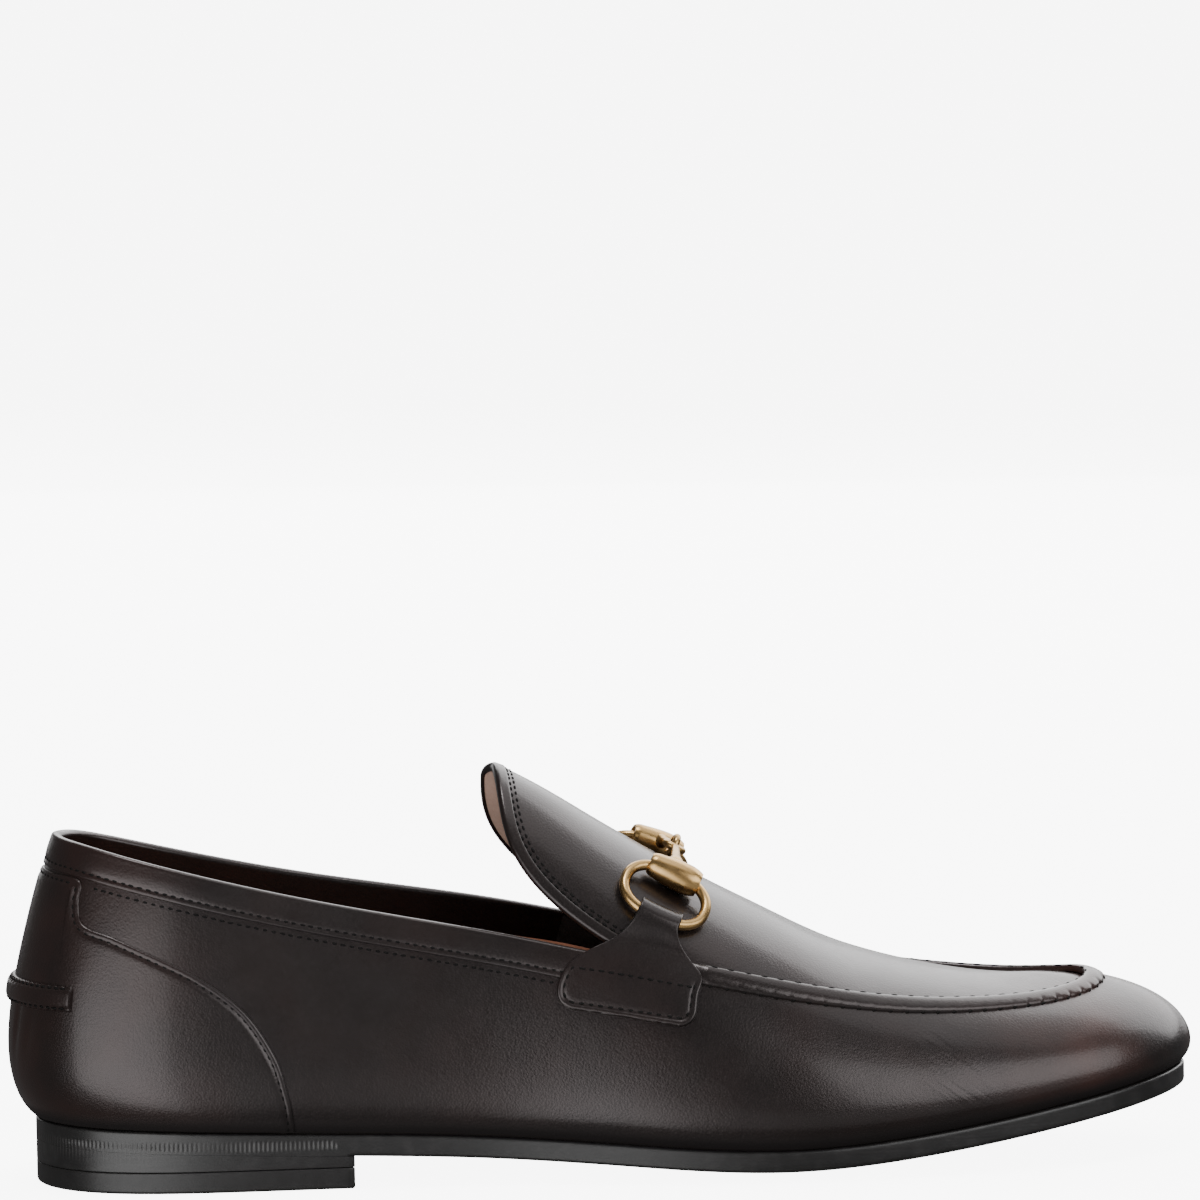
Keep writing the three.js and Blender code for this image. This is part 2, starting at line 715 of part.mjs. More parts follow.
// Link: a barrel on the ring, an arm over the vamp and an eye at the crest
function linkSolid(side) {
  const frame = bitFrame(side);
  const halfWidth = (bitRingWidth - bitWire) / 2;
  const barrelMiddle = frame.middle.clone().addScaledVector(frame.rising, halfWidth - barrelSeat);
  const half = frame.ahead.clone().multiplyScalar(barrelLength / 2);
  const tip = barrelTipDiameter / 2;
  const thin = barrelEndDiameter / 2;
  const thick = barrelDiameter / 2;
  const barrel = straightBar(
    barrelMiddle.clone().sub(half),
    barrelMiddle.clone().add(half),
    [tip, thin, thick, thick, thick, thick, thin, tip],
    frame.outward,
    14,
  );
  const eye = eyeFrame(side);
  const level = side === 'lateral';
  const wireRadius = eyeWire / 2;
  const ringRadius = eyeDiameter / 2 - wireRadius;
  const sideways = new THREE.Vector3(0, eye.sign, 0);
  const ahead = sideways.clone().cross(eye.above).normalize();
  const turnedUp = level ? ahead : eye.above;
  const eyeFace = level ? eye.above : ahead;
  const count = 16;
  const stations = counted(count, (index) => {
    const angle = 2 * Math.PI * index / count;
    const radial = sideways.clone()
      .multiplyScalar(Math.cos(angle))
      .addScaledVector(turnedUp, Math.sin(angle));
    return {
      middle: eye.middle.clone().addScaledVector(radial, ringRadius),
      across: radial,
      over: eyeFace,
      radius: wireRadius,
    };
  });
  const eyeBar = barSkin(stations, 6, true);
  const start = barrelMiddle.clone();
  const end = eye.middle.clone().addScaledVector(sideways, ringRadius);
  const bend = start.clone().lerp(end, 0.5).addScaledVector(frame.outward, armArch);
  const curve = new THREE.QuadraticBezierCurve3(start, bend, end);
  const armCount = 7;
  const armStations = counted(armCount, (index) => {
    const t = index / (armCount - 1);
    const along = curve.getTangent(t);
    const across = along.clone().cross(frame.ahead).normalize();
    return {
      middle: curve.getPoint(t),
      across,
      over: across.clone().cross(along).normalize(),
      radius: mix(armDiameter, armEndDiameter, t) / 2,
    };
  });
  const arm = barSkin(armStations, 8, false);
  const bore = ringBar(frame, bitWire / 2 + gap);
  return barrel.add(arm).subtract(bore).add(eyeBar);
}

// Strap tab: stitched down below, its neck folded round the ring
function tabSolid(side) {
  const lateral = side === 'lateral';
  const turned = (place) => (lateral ? place : loop - place);
  const frame = bitFrame(side);
  const halfWidth = (bitRingWidth - bitWire) / 2;
  const foldHeight = bitWireHeight + bitWire / 2 + tabThickness;
  const corner = (sideways, reach) => {
    const move = frame.ahead.clone()
      .multiplyScalar(sideways * tabNeck / 2)
      .addScaledVector(frame.rising, reach * tabFoldReach - halfWidth);
    return movedOver(frame.place, frame.share, move);
  };
  const patch = tabOutline.map((row) => ({
    back: { place: turned(row.back), share: row.backShare },
    front: { place: turned(row.front), share: row.frontShare },
    lift: tabThickness,
  }));
  const neck = neckRows.map(({ reach, rise }) => ({
    back: corner(-1, reach),
    front: corner(1, reach),
    lift: rise * foldHeight,
  }));
  const across = 6;
  const lines = [...patch, ...neck].map(({ back, front, lift }) => counted(across + 1, (index) => {
    const part = index / across;
    return overlayPair(mix(back.place, front.place, part), mix(back.share, front.share, part), gap, lift);
  }));
  const columns = counted(across + 1, (index) => lines.map((line) => line[lateral ? index : across - index]));
  const tab = toSolid(new Wall().grid(columns).geometry());
  return tab.subtract(ringBar(frame, bitWire / 2 + gap));
}

const liftTop = () => topLiftThickness;
const ground = () => 0;
const stackBottom = () => topLiftThickness + gap;
const stackTop = (x) => bedHeight(x) - soleThickness - gap;

addPiece('outsole', outsole.geometry(), soleBlack);
addPiece('heel_stack', heelLayer(stackBottom, stackTop), soleBlack);
addPiece('top_lift', heelLayer(ground, liftTop), soleBlack);
addPiece('insole', insole.geometry(), liningTan);
addPiece('upper', upper.geometry(), polishedBlack);
addPiece('heel_counter', counterGeometry(), polishedBlack);
addPiece('back_strap', backStrapGeometry(), polishedBlack);
['lateral', 'medial'].forEach((side) => {
  addPiece(`strap_tab_${side}`, toGeometry(tabSolid(side)), polishedBlack);
  addPiece(`bit_ring_${side}`, toGeometry(ringBar(bitFrame(side), bitWire / 2)), antiqueBrass);
  addPiece(`bit_link_${side}`, toGeometry(linkSolid(side)), antiqueBrass);
});

// Origin: on the ground, under the middle of the shoe's box
const box = new THREE.Box3().setFromObject(group);
const middle = box.getCenter(new THREE.Vector3());
group.position.set(-middle.x, -middle.y, -box.min.z);

export default group;
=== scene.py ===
"""Bit loafer: the finished surfaces of the shoe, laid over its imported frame.

Every shape is worked out on one form, a last. Sections stand round it from the heel back, along the outer side,
over the toe and back along the inner side. A place counts table rows round that loop, and a share runs up one
section, from the feather line at 0 to the crest at 1. Lengths are metres.
"""
import math

import bmesh
import bpy
import numpy as np
from bpy.props import FloatProperty, FloatVectorProperty, PointerProperty
from mathutils import Matrix, Vector


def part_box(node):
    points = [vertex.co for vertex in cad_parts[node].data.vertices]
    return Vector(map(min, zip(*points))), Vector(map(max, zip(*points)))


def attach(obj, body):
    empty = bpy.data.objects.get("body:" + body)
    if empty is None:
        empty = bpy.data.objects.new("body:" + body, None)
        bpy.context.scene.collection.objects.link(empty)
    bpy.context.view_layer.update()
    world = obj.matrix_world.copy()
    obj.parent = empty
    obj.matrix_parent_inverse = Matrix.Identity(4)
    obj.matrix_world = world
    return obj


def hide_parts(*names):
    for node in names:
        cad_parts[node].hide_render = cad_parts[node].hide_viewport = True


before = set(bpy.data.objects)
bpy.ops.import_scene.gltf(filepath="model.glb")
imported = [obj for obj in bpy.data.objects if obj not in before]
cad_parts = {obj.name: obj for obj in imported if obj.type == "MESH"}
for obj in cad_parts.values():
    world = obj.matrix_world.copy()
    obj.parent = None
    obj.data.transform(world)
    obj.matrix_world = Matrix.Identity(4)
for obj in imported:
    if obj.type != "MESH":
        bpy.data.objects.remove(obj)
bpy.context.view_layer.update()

bl_info = {
    "name": "Bit loafer",
    "version": (1, 0, 0),
    "blender": (4, 5, 0),
    "location": "3D View > Sidebar > Loafer",
    "description": "Builds the leather, stitches and brass bit of a loafer over its construction model",
    "category": "Object",
}

MM = 0.001

# Sizes of the last
LAST_LENGTH = 296 * MM
BALL_WIDTH = 94 * MM
INSTEP_HEIGHT = 104 * MM
HEEL_LIFT = 16.6 * MM
HEEL_SWELL = 6.2 * MM
SWELL_RISE = 22 * MM
TUCK_DEPTH = 1.2 * MM
TUCK_RISE = 2.2 * MM
CREST_EASE = 3 * MM
LEVEL_RISE = 8 * MM

# Relief: the ticks pressed into the heel's edge, and the apron below the top of its seam
TICK_DEPTH = 0.2 * MM
APRON_SINK = 0.9 * MM

# The picture: its width, what one of its pixels spans at the shoe, and how far off the camera stands
PICTURE_WIDTH = 1200
PIXEL = 0.2547 * MM
CAMERA_DISTANCE = 2.2

# How strongly the floor glows, so that it stays pale round a dark shoe, and how strongly the surround does
FLOOR_GLOW = 8.2
SURROUND_GLOW = 0.11

# Soft boxes: where each stands, the point that it faces, its width and height, and its power. The boxes at the
# shoe's side reach below the floor's level, which lets their light through.
LIGHTS = (
    {"name": "behind", "place": (0.77, 1.33, 1.12), "target": (0.0, 0.0, 0.05), "size": (3.0, 1.6), "power": 54.0},
    {"name": "horizon", "place": (0.3, 2.0, 0.22), "target": (0.0, 0.0, 0.05), "size": (2.8, 0.36), "power": 4.0},
    {"name": "overhead", "place": (0.49, 0.0, 1.52), "target": (0.0, 0.0, 0.05), "size": (1.4, 1.2), "power": 6.0},
    {"name": "collar", "place": (-0.12, -0.15, 1.6), "target": (0.0, 0.0, 0.05), "size": (0.4, 0.4), "power": 9.0},
    {"name": "heel_side", "place": (-0.60, -0.56, -0.05), "target": (-0.60, 0.0, -0.05), "size": (0.88, 0.66),
     "power": 4.9},
    {"name": "toe_side", "place": (0.80, -0.78, 0.45), "target": (0.13, -0.03, 0.05), "size": (1.08, 0.70),
     "power": 7.0},
    {"name": "bounce", "place": (0.0, -0.32, 0.002), "target": (0.0, -0.32, 1.0), "size": (0.6, 0.5), "power": 0.3},
)

# Sections of the last, from the heel back to the toe tip, as shares of its sizes
COLUMNS = (
    "at", "lateral", "medial", "seat", "crest_at", "crest_side", "crest",
    "swell", "swell_up", "squareness", "lateral_edge", "medial_edge",
)
SECTIONS = np.array((
    (0.00, 0.000, 0.000, 1.00, 0.105, 0.000, 1.150, 1.00, 1.00, 1.00, 0.490, 0.490),
    (0.03, 0.225, 0.222, 0.99, 0.112, 0.000, 1.150, 0.90, 0.95, 1.00, 0.475, 0.475),
    (0.11, 0.325, 0.315, 0.94, 0.165, 0.000, 1.130, 0.62, 0.85, 0.98, 0.435, 0.435),
    (0.24, 0.330, 0.300, 0.84, 0.260, 0.010, 1.075, 0.45, 0.75, 0.95, 0.390, 0.400),
    (0.38, 0.345, 0.270, 0.74, 0.385, 0.020, 1.010, 0.45, 0.70, 0.92, 0.355, 0.380),
    (0.51, 0.425, 0.340, 0.58, 0.485, 0.030, 0.840, 0.48, 0.60, 0.90, 0.380, 0.410),
    (0.63, 0.485, 0.450, 0.47, 0.590, 0.030, 0.670, 0.45, 0.50, 0.88, 0.430, 0.470),
    (0.75, 0.450, 0.470, 0.63, 0.695, 0.030, 0.527, 0.38, 0.40, 0.82, 0.475, 0.560),
    (0.86, 0.370, 0.410, 0.90, 0.785, 0.035, 0.457, 0.34, 0.32, 0.76, 0.550, 0.650),
    (0.95, 0.225, 0.285, 1.15, 0.832, 0.040, 0.438, 0.34, 0.30, 0.70, 0.630, 0.710),
    (1.00, -0.05, 0.050, 1.27, 0.845, 0.045, 0.437, 0.34, 0.30, 0.67, 0.700, 0.700),
))
TOE = len(SECTIONS) - 1
LOOP = 2 * TOE

# Places round the loop, and shares and turns of what lies there
TONGUE_TIP = 4.16
INNER_TIP = 4.09
TONGUE_ROOT = 5.1
BAND_END = 4.74
ROLL_START = 5.38
ROLL_FULL = 5.52
BIT_PLACE = 5.3
BIT_SHARES = {"lateral": 0.62, "medial": 0.68}
BIT_TURN = math.radians(22)
EYE_PLACE = 5.6
FLEX_PLACE = 7.2
FLEX_SHARE = 0.185
BACK_STRAP_END = 1.16
BACK_STRAP_SHARE = 0.206
CAMBER_FROM = 3.2
CAMBER_FULL = 5.6

# Half of the counter's outline, from the heel back to its front end: the place at the feather line, and the place
# and share on the outline. A share of 0 stands for the collar band's lower edge.
COUNTER_OUTLINE = np.array((
    (0.00, 0.00, 0.000),
    (0.50, 0.50, 0.000),
    (1.00, 1.00, 0.000),
    (1.12, 1.05, 0.365),
    (1.30, 1.15, 0.330),
    (1.60, 1.52, 0.309),
    (2.00, 1.96, 0.274),
    (2.30, 2.26, 0.241),
    (2.52, 2.53, 0.192),
    (2.66, 2.72, 0.122),
    (2.71, 2.80, 0.060),
    (2.73, 2.82, 0.028),
    (2.73, 2.82, 0.003),
))

# A strap tab's stitched part, from its lower edge up: place and share of its back edge, then of its front edge
TAB_OUTLINE = np.array((
    (4.44, 0.229, 5.35, 0.248),
    (4.44, 0.247, 5.38, 0.276),
    (4.46, 0.285, 5.42, 0.335),
    (4.56, 0.335, 5.47, 0.390),
    (4.82, 0.408, 5.40, 0.432),
))

# Soft creases of the leather: where each lies, its length and width, how far it turns down toward the toe, and
# its depth, negative for a ridge
CREASES = (
    {"place": 6.90, "share": 0.250, "length": 30.0, "width": 8.0, "turn": -14, "depth": 0.22},
    {"place": 5.90, "share": 0.210, "length": 22.0, "width": 9.0, "turn": 70, "depth": 0.20},
    {"place": 0.36, "share": 0.160, "length": 7.5, "width": 1.3, "turn": 84, "depth": 0.60},
    {"place": 0.62, "share": 0.150, "length": 6.0, "width": 1.6, "turn": 78, "depth": 0.25},
    {"place": 13.10, "share": 0.250, "length": 30.0, "width": 8.0, "turn": -14, "depth": 0.22},
    {"place": 14.10, "share": 0.210, "length": 22.0, "width": 9.0, "turn": 70, "depth": 0.20},
)


class LoaferSizes(bpy.types.PropertyGroup):
    """Sizes of the pieces that lie on the last."""

    leather: FloatProperty(
        name="Leather", description="Thickness of the outer leather", default=1.0 * MM, unit="LENGTH")
    upper_wall: FloatProperty(
        name="Upper wall", description="Leather and lining together", default=1.8 * MM, unit="LENGTH")
    collar_band: FloatProperty(
        name="Collar band", description="Width of the band below the rim", default=8.2 * MM, unit="LENGTH")
    band_step: FloatProperty(
        name="Band step", description="How far the band stands proud", default=0.7 * MM, unit="LENGTH")
    apron_roll: FloatProperty(
        name="Apron roll", description="Width of the rolled apron seam", default=5.5 * MM, unit="LENGTH")
    apron_roll_height: FloatProperty(
        name="Roll height", description="Height of the rolled seam", default=1.5 * MM, unit="LENGTH")
    roll_pitch: FloatProperty(
        name="Roll pitch", description="Distance from pinch to pinch", default=4.3 * MM, unit="LENGTH")
    counter: FloatProperty(
        name="Counter", description="Thickness of the heel counter", default=0.95 * MM, unit="LENGTH")
    strap_width: FloatProperty(
        name="Back strap", description="Width of the strap over the heel", default=6.6 * MM, unit="LENGTH")
    tab: FloatProperty(
        name="Tab", description="Thickness of a strap tab", default=1.3 * MM, unit="LENGTH")
    tab_neck: FloatProperty(
        name="Tab neck", description="Width of a tab's neck", default=11.2 * MM, unit="LENGTH")
    binding: FloatProperty(
        name="Binding", description="Width of the tongue's binding", default=2.7 * MM, unit="LENGTH")
    sole: FloatProperty(
        name="Sole", description="Thickness of the outsole", default=5.5 * MM, unit="LENGTH")
    sole_camber: FloatProperty(
        name="Camber", description="Rise of the sole's edge over its middle", default=3.2 * MM, unit="LENGTH")
    top_lift: FloatProperty(
        name="Top lift", description="Thickness of the top lift", default=5.4 * MM, unit="LENGTH")
    heel_breast: FloatProperty(
        name="Heel breast", description="Length of the heel", default=78.5 * MM, unit="LENGTH")
    breast_hollow: FloatProperty(
        name="Breast hollow", description="Depth of the breast's hollow", default=3 * MM, unit="LENGTH")
    tick_pitch: FloatProperty(
        name="Tick pitch", description="Distance between the heel's pressed ticks", default=1.15 * MM,
        unit="LENGTH")
    insole: FloatProperty(
        name="Insole", description="Thickness of the insole", default=3 * MM, unit="LENGTH")
    wire: FloatProperty(
        name="Ring wire", description="Diameter of a ring's wire", default=2.7 * MM, unit="LENGTH")
    ring_length: FloatProperty(
        name="Ring length", description="Outer length of a ring", default=24.4 * MM, unit="LENGTH")
    ring_width: FloatProperty(
        name="Ring width", description="Outer width of a ring", default=18.6 * MM, unit="LENGTH")
    ring_squareness: FloatProperty(
        name="Ring squareness", description="2 is an ellipse, more is squarer", default=2.3)
    ring_height: FloatProperty(
        name="Ring height", description="Wire's middle over the leather", default=2.3 * MM, unit="LENGTH")
    ring_lean: FloatProperty(
        name="Ring lean", description="Lean of the ring off the leather", default=0.11)
    barrel_length: FloatProperty(
        name="Barrel length", description="Length of a barrel", default=13.6 * MM, unit="LENGTH")
    barrel: FloatProperty(
        name="Barrel", description="Diameter of a barrel's middle", default=7.8 * MM, unit="LENGTH")
    barrel_end: FloatProperty(
        name="Barrel end", description="Diameter of a barrel's ends", default=5.8 * MM, unit="LENGTH")
    arm: FloatProperty(
        name="Arm", description="Diameter of a link's arm", default=3.2 * MM, unit="LENGTH")
    arm_arch: FloatProperty(
        name="Arm arch", description="Rise of a link's arm", default=1.4 * MM, unit="LENGTH")
    eye: FloatProperty(
        name="Eye", description="Outer diameter of a link's eye", default=6.6 * MM, unit="LENGTH")
    eye_wire: FloatProperty(
        name="Eye wire", description="Diameter of an eye's wire", default=1.9 * MM, unit="LENGTH")
    stitch_pitch: FloatProperty(
        name="Stitch pitch", description="Distance from stitch to stitch", default=2.2 * MM, unit="LENGTH")
    thread: FloatProperty(
        name="Thread", description="Diameter of the thread", default=0.74 * MM, unit="LENGTH")


class LoaferColours(bpy.types.PropertyGroup):
    """Colours of the finishes, as linear values."""

    leather: FloatVectorProperty(
        name="Leather", description="Polished upper", subtype="COLOR", default=(0.0080, 0.0067, 0.0065))
    burnish: FloatVectorProperty(
        name="Burnish", description="Brown that shows through the polish", subtype="COLOR",
        default=(0.048, 0.0190, 0.0145))
    thread: FloatVectorProperty(
        name="Thread", description="Stitches", subtype="COLOR", default=(0.0025, 0.0022, 0.0021))
    lining: FloatVectorProperty(
        name="Lining", description="Lining at the throat", subtype="COLOR", default=(0.26, 0.082, 0.034))
    quarter_lining: FloatVectorProperty(
        name="Quarter lining", description="Lining of the quarters", subtype="COLOR", default=(0.46, 0.25, 0.18))
    tongue_lining: FloatVectorProperty(
        name="Tongue lining", description="Lining of the tongue", subtype="COLOR", default=(0.64, 0.44, 0.35))
    brass: FloatVectorProperty(
        name="Brass", description="Antique brass", subtype="COLOR", default=(0.58, 0.37, 0.152))
    sole: FloatVectorProperty(
        name="Sole", description="Waxed sole leather", subtype="COLOR", default=(0.0130, 0.0122, 0.0122))
    rubber: FloatVectorProperty(
        name="Top lift", description="Hard rubber", subtype="COLOR", default=(0.0115, 0.0108, 0.0108))
    floor: FloatVectorProperty(
        name="Floor", description="Studio floor", subtype="COLOR", default=(0.90, 0.90, 0.90))


# The last

def round_the_loop(outer, inner=None, sign=1.0):
    """A smooth curve along one column of the table, all round the loop: a periodic cubic B-spline, whose poles
    stand off from the column's values so that it passes close by them."""
    outer_side = sign * SECTIONS[:, COLUMNS.index(outer)]
    inner_side = SECTIONS[:, COLUMNS.index(inner or outer)]
    values = np.concatenate((outer_side, inner_side[TOE - 1:0:-1]))
    poles = (8 * values - np.roll(values, 1) - np.roll(values, -1)) / 6

    def column(place):
        cell = np.floor(place).astype(int)
        t = place - cell
        weights = ((1 - t) ** 3, 3 * t ** 3 - 6 * t ** 2 + 4, -3 * t ** 3 + 3 * t ** 2 + 3 * t + 1, t ** 3)
        return sum(weight * poles[(cell + step) % LOOP] for step, weight in enumerate(weights, -1)) / 6

    return column


FORM = {name: round_the_loop(name) for name in COLUMNS[3:10] + ("at",)}
FORM["side"] = round_the_loop("lateral", "medial", -1.0)
FORM["edge"] = round_the_loop("lateral_edge", "medial_edge")


def mix(one, other, part):
    return one + (other - one) * part


def smooth_step(value, low, high):
    """Rises from 0 at low to 1 at high, level at both ends."""
    part = np.clip((value - low) / (high - low), 0, 1)
    return part * part * (3 - 2 * part)


def dot(one, other):
    return (one * other).sum(-1)


def scaled(colour, factor):
    return tuple(factor * part for part in colour)


def unit(vector):
    return vector / np.linalg.norm(vector, axis=-1, keepdims=True)


def stacked(*parts):
    return np.stack(np.broadcast_arrays(*parts), -1)


def from_heel(place):
    """Distance of a place from the heel back, counted on either side."""
    turned = np.mod(place, LOOP)
    return np.minimum(turned, LOOP - turned)


def foot_point(place):
    """The feather line."""
    return stacked(LAST_LENGTH * FORM["at"](place), BALL_WIDTH * FORM["side"](place),
                   HEEL_LIFT * FORM["seat"](place))


def crest_point(place):
    """The line down the middle of the top."""
    return stacked(LAST_LENGTH * FORM["crest_at"](place), BALL_WIDTH * FORM["crest_side"](place),
                   INSTEP_HEIGHT * FORM["crest"](place))


def crest_slope(place):
    """Slope of the crest line, eased to level where the line turns round at the toe and the heel back."""
    step = 0.05
    change = (crest_point(place + step) - crest_point(place - step)) / (2 * step)
    return change[..., 2] * change[..., 0] / (change[..., 0] ** 2 + CREST_EASE ** 2)


def last_point(place, share):
    """The outside of the last: a quarter ellipse up each section, swelled out over the feather line, tucked in at
    the feather line itself, and lowered beside the crest so that both sides meet in one smooth line there."""
    place, share = np.broadcast_arrays(np.asarray(place, float), np.asarray(share, float))
    foot = foot_point(place)
    span = crest_point(place) - foot
    reach = np.hypot(span[..., 0], span[..., 1])
    angle = np.maximum(share, 0) * math.pi / 2
    sine = np.sin(angle)
    rise = span[..., 2] * sine ** FORM["squareness"](place)
    swell_share = rise / (SWELL_RISE * FORM["swell_up"](place))
    swell = HEEL_SWELL * FORM["swell"](place) * swell_share * np.exp(1 - swell_share)
    tuck = TUCK_DEPTH * np.exp(-rise / TUCK_RISE)
    inward = reach * (1 - np.cos(angle)) - swell + tuck
    lowered = crest_slope(place) * span[..., 0] * np.cos(angle) * sine ** 4
    return np.stack((
        foot[..., 0] + span[..., 0] / reach * inward,
        foot[..., 1] + span[..., 1] / reach * inward,
        foot[..., 2] + rise - lowered,
    ), -1)


def along_place(place, share):
    step = 0.02
    return (last_point(place + step, share) - last_point(place - step, share)) / (2 * step)


def along_share(place, share):
    step = 0.004
    high = share + step
    low = np.maximum(share - step, 0)
    return (last_point(place, high) - last_point(place, low)) / (high - low)[..., None]


def outward(place, share):
    """The direction straight off the last."""
    return unit(np.cross(along_place(place, share), along_share(place, share)))


def lifted(place, share, lift):
    """A point lifted off the last. Near the feather line the lift turns level, so that edges stay on the sole."""
    place, share, lift = np.broadcast_arrays(np.asarray(place, float), share, lift)
    point = last_point(place, share)
    away = outward(place, share)
    away[..., 2] *= np.minimum(1, (point[..., 2] - HEEL_LIFT * FORM["seat"](place)) / LEVEL_RISE)
    return point + unit(away) * lift[..., None]


def share_over(place, share, length):
    """The share reached by a length up the section."""
    return share + length / np.linalg.norm(along_share(place, share), axis=-1)


def slid(place, share, move):
    """The place and share reached by a small move over the surface: the move's parts along the surface's two
    directions, by least squares, in a few rounds."""
    target = last_point(place, share) + move
    for _ in range(3):
        ahead = along_place(place, share)
        up = along_share(place, share)
        missing = target - last_point(place, share)
        spread = dot(ahead, ahead) * dot(up, up) - dot(ahead, up) ** 2
        place = place + (dot(missing, ahead) * dot(up, up) - dot(missing, up) * dot(ahead, up)) / spread
        share = share + (dot(missing, up) * dot(ahead, ahead) - dot(missing, ahead) * dot(ahead, up)) / spread
    return place, share


def arc_length(path):
    """Length along a path to each of its points."""
    return np.concatenate(([0.0], np.cumsum(np.linalg.norm(np.diff(path, axis=0), axis=1))))


def evenly(path, spacing, *values):
    """Values carried by a path, read at even steps of about one spacing along it."""
    length = arc_length(path)
    count = max(2, round(length[-1] / spacing))
    at = np.linspace(0, length[-1], count + 1)
    return [np.interp(at, length, value) for value in values]


def even_places(first, last, spacing, share_at):
    """Places an even distance apart along the line that share_at gives."""
    fine = np.linspace(first, last, 3000)
    return evenly(last_point(fine, share_at(fine)), spacing, fine)[0]


def smooth_through(rows, at):
    """A Catmull-Rom curve through a table's rows, with at counting rows."""
    ends = np.vstack((2 * rows[0] - rows[1], rows, 2 * rows[-1] - rows[-2]))
    cell = np.clip(np.floor(at).astype(int), 0, len(rows) - 2)
    t = (at - cell)[..., None]
    a, b, c, d = (ends[cell + step] for step in range(4))
    return 0.5 * (2 * b + (c - a) * t + (2 * a - 5 * b + 4 * c - d) * t ** 2
                  + (3 * b - a - 3 * c + d) * t ** 3)


def shift_to_frame():
    """The step from the last's own axes to the frame: the outsole's outline is the feather line."""
    foot = foot_point(np.linspace(0, LOOP, 2001))
    low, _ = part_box("outsole")
    return np.array((low[0] - foot[:, 0].min(), low[1] - foot[:, 1].min(), 0.0))


SHIFT = shift_to_frame()


# Meshes

def grid_faces(rows, columns, close_rows=False, close_columns=False):
    """Quads of a grid whose points are numbered row by row, closed round where asked."""
    row = np.arange(rows if close_rows else rows - 1)
    column = np.arange(columns if close_columns else columns - 1)
    i, j = (part.ravel() for part in np.meshgrid(row, column, indexing="ij"))
    i_next = (i + 1) % rows
    j_next = (j + 1) % columns
    return np.stack((i * columns + j, i_next * columns + j, i_next * columns + j_next, i * columns + j_next), -1)


def shell(outer, inner, wrap=False):
    """A closed sheet between two grids of points: out along the first, back along the second, with its ends
    closed unless it wraps round."""
    across, along = outer.shape[:2]
    ring = np.concatenate((outer, inner[:, ::-1]), axis=1)
    faces = grid_faces(across, 2 * along, wrap, True)
    if not wrap:
        j = np.arange(along - 1)
        first = np.stack((j, j + 1, 2 * along - 2 - j, 2 * along - 1 - j), -1)
        faces = np.concatenate((faces, first, first[:, ::-1] + (across - 1) * 2 * along))
    return ring.reshape(-1, 3), faces


def strip(place, share, side, profile):
    """A profile carried along a path on the last. Each profile point is a distance to the side of the path, up
    the section where side is 1 and the path runs toward the toe, and a lift."""
    path = last_point(place, share)
    aside = side * unit(np.cross(outward(place, share), np.gradient(path, axis=0)))
    distance, lift = profile[..., 0], profile[..., 1]
    distance = np.broadcast_to(distance, (len(place), distance.shape[-1]))
    at, up = slid(place[:, None], share[:, None], aside[:, None, :] * distance[..., None])
    return lifted(at, up, lift)


def tube(path, over, radius, sides, closed=False):
    """A round bar along a path: rings across it, one side of each toward over."""
    ahead = np.roll(path, -1, 0) - np.roll(path, 1, 0) if closed else np.gradient(path, axis=0)
    ahead = unit(ahead)
    across = unit(np.cross(ahead, over))
    over = np.cross(across, ahead)
    angle = np.arange(sides) * 2 * math.pi / sides
    radius = np.broadcast_to(radius, len(path))[:, None, None]
    rings = path[:, None] + radius * (across[:, None] * np.cos(angle)[:, None]
                                      + over[:, None] * np.sin(angle)[:, None])
    if not closed:
        caps = [np.repeat(path[end][None, None], sides, axis=1) for end in (0, -1)]
        rings = np.concatenate((caps[0], rings, caps[1]))
    return rings.reshape(-1, 3), grid_faces(len(rings), sides, closed, True)


def add_piece(name, parts, finish, replaces=(), sharp=42, painted_shade_and_highlight=None):
    """One mesh object in the frame from parts, each its points and faces. Points that fall together are merged
    and faces turned outward. A point attribute from 0 to 1, where given, is painted light that the finish
    reads: painted shade near the feather line on the calf, and a painted highlight on the heel's ticks."""
    points, faces, count = [], [], 0
    for part_points, part_faces in parts:
        points.append(part_points)
        faces.extend((np.asarray(part_faces) + count).tolist())
        count += len(part_points)
    mesh = bpy.data.meshes.new(name)
    mesh.from_pydata((np.concatenate(points) + SHIFT).tolist(), [], faces)
    if painted_shade_and_highlight is not None:
        mesh.attributes.new("painted_shade_and_highlight", "FLOAT", "POINT").data.foreach_set("value", painted_shade_and_highlight)
    body = bmesh.new()
    body.from_mesh(mesh)
    bmesh.ops.remove_doubles(body, verts=body.verts, dist=0.001 * MM)
    bmesh.ops.dissolve_degenerate(body, edges=body.edges, dist=0.0005 * MM)
    bmesh.ops.recalc_face_normals(body, faces=body.faces)
    body.to_mesh(mesh)
    body.free()
    mesh.shade_smooth()
    mesh.set_sharp_from_angle(angle=math.radians(sharp))
    mesh.materials.append(finish)
    piece = bpy.data.objects.new(name, mesh)
    bpy.context.scene.collection.objects.link(piece)
    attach(piece, "root")
    if replaces:
        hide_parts(*replaces)


# Materials

class Value:
    """A socket of a finish, with maths: each operator adds a Math node."""

    def __init__(self, finish, socket):
        self.finish = finish
        self.socket = socket

    def maths(self, operation, *operands):
        return self.finish.node("ShaderNodeMath", {"operation": operation}, dict(enumerate(operands)))

    def __add__(self, other):
        return self.maths("ADD", self, other)

    __radd__ = __add__

    def __sub__(self, other):
        return self.maths("SUBTRACT", self, other)

    def __rsub__(self, other):
        return self.maths("SUBTRACT", other, self)

    def __mul__(self, other):
        return self.maths("MULTIPLY", self, other)

    __rmul__ = __mul__

    def __pow__(self, other):
        return self.maths("POWER", self.maths("ABSOLUTE", self), other)


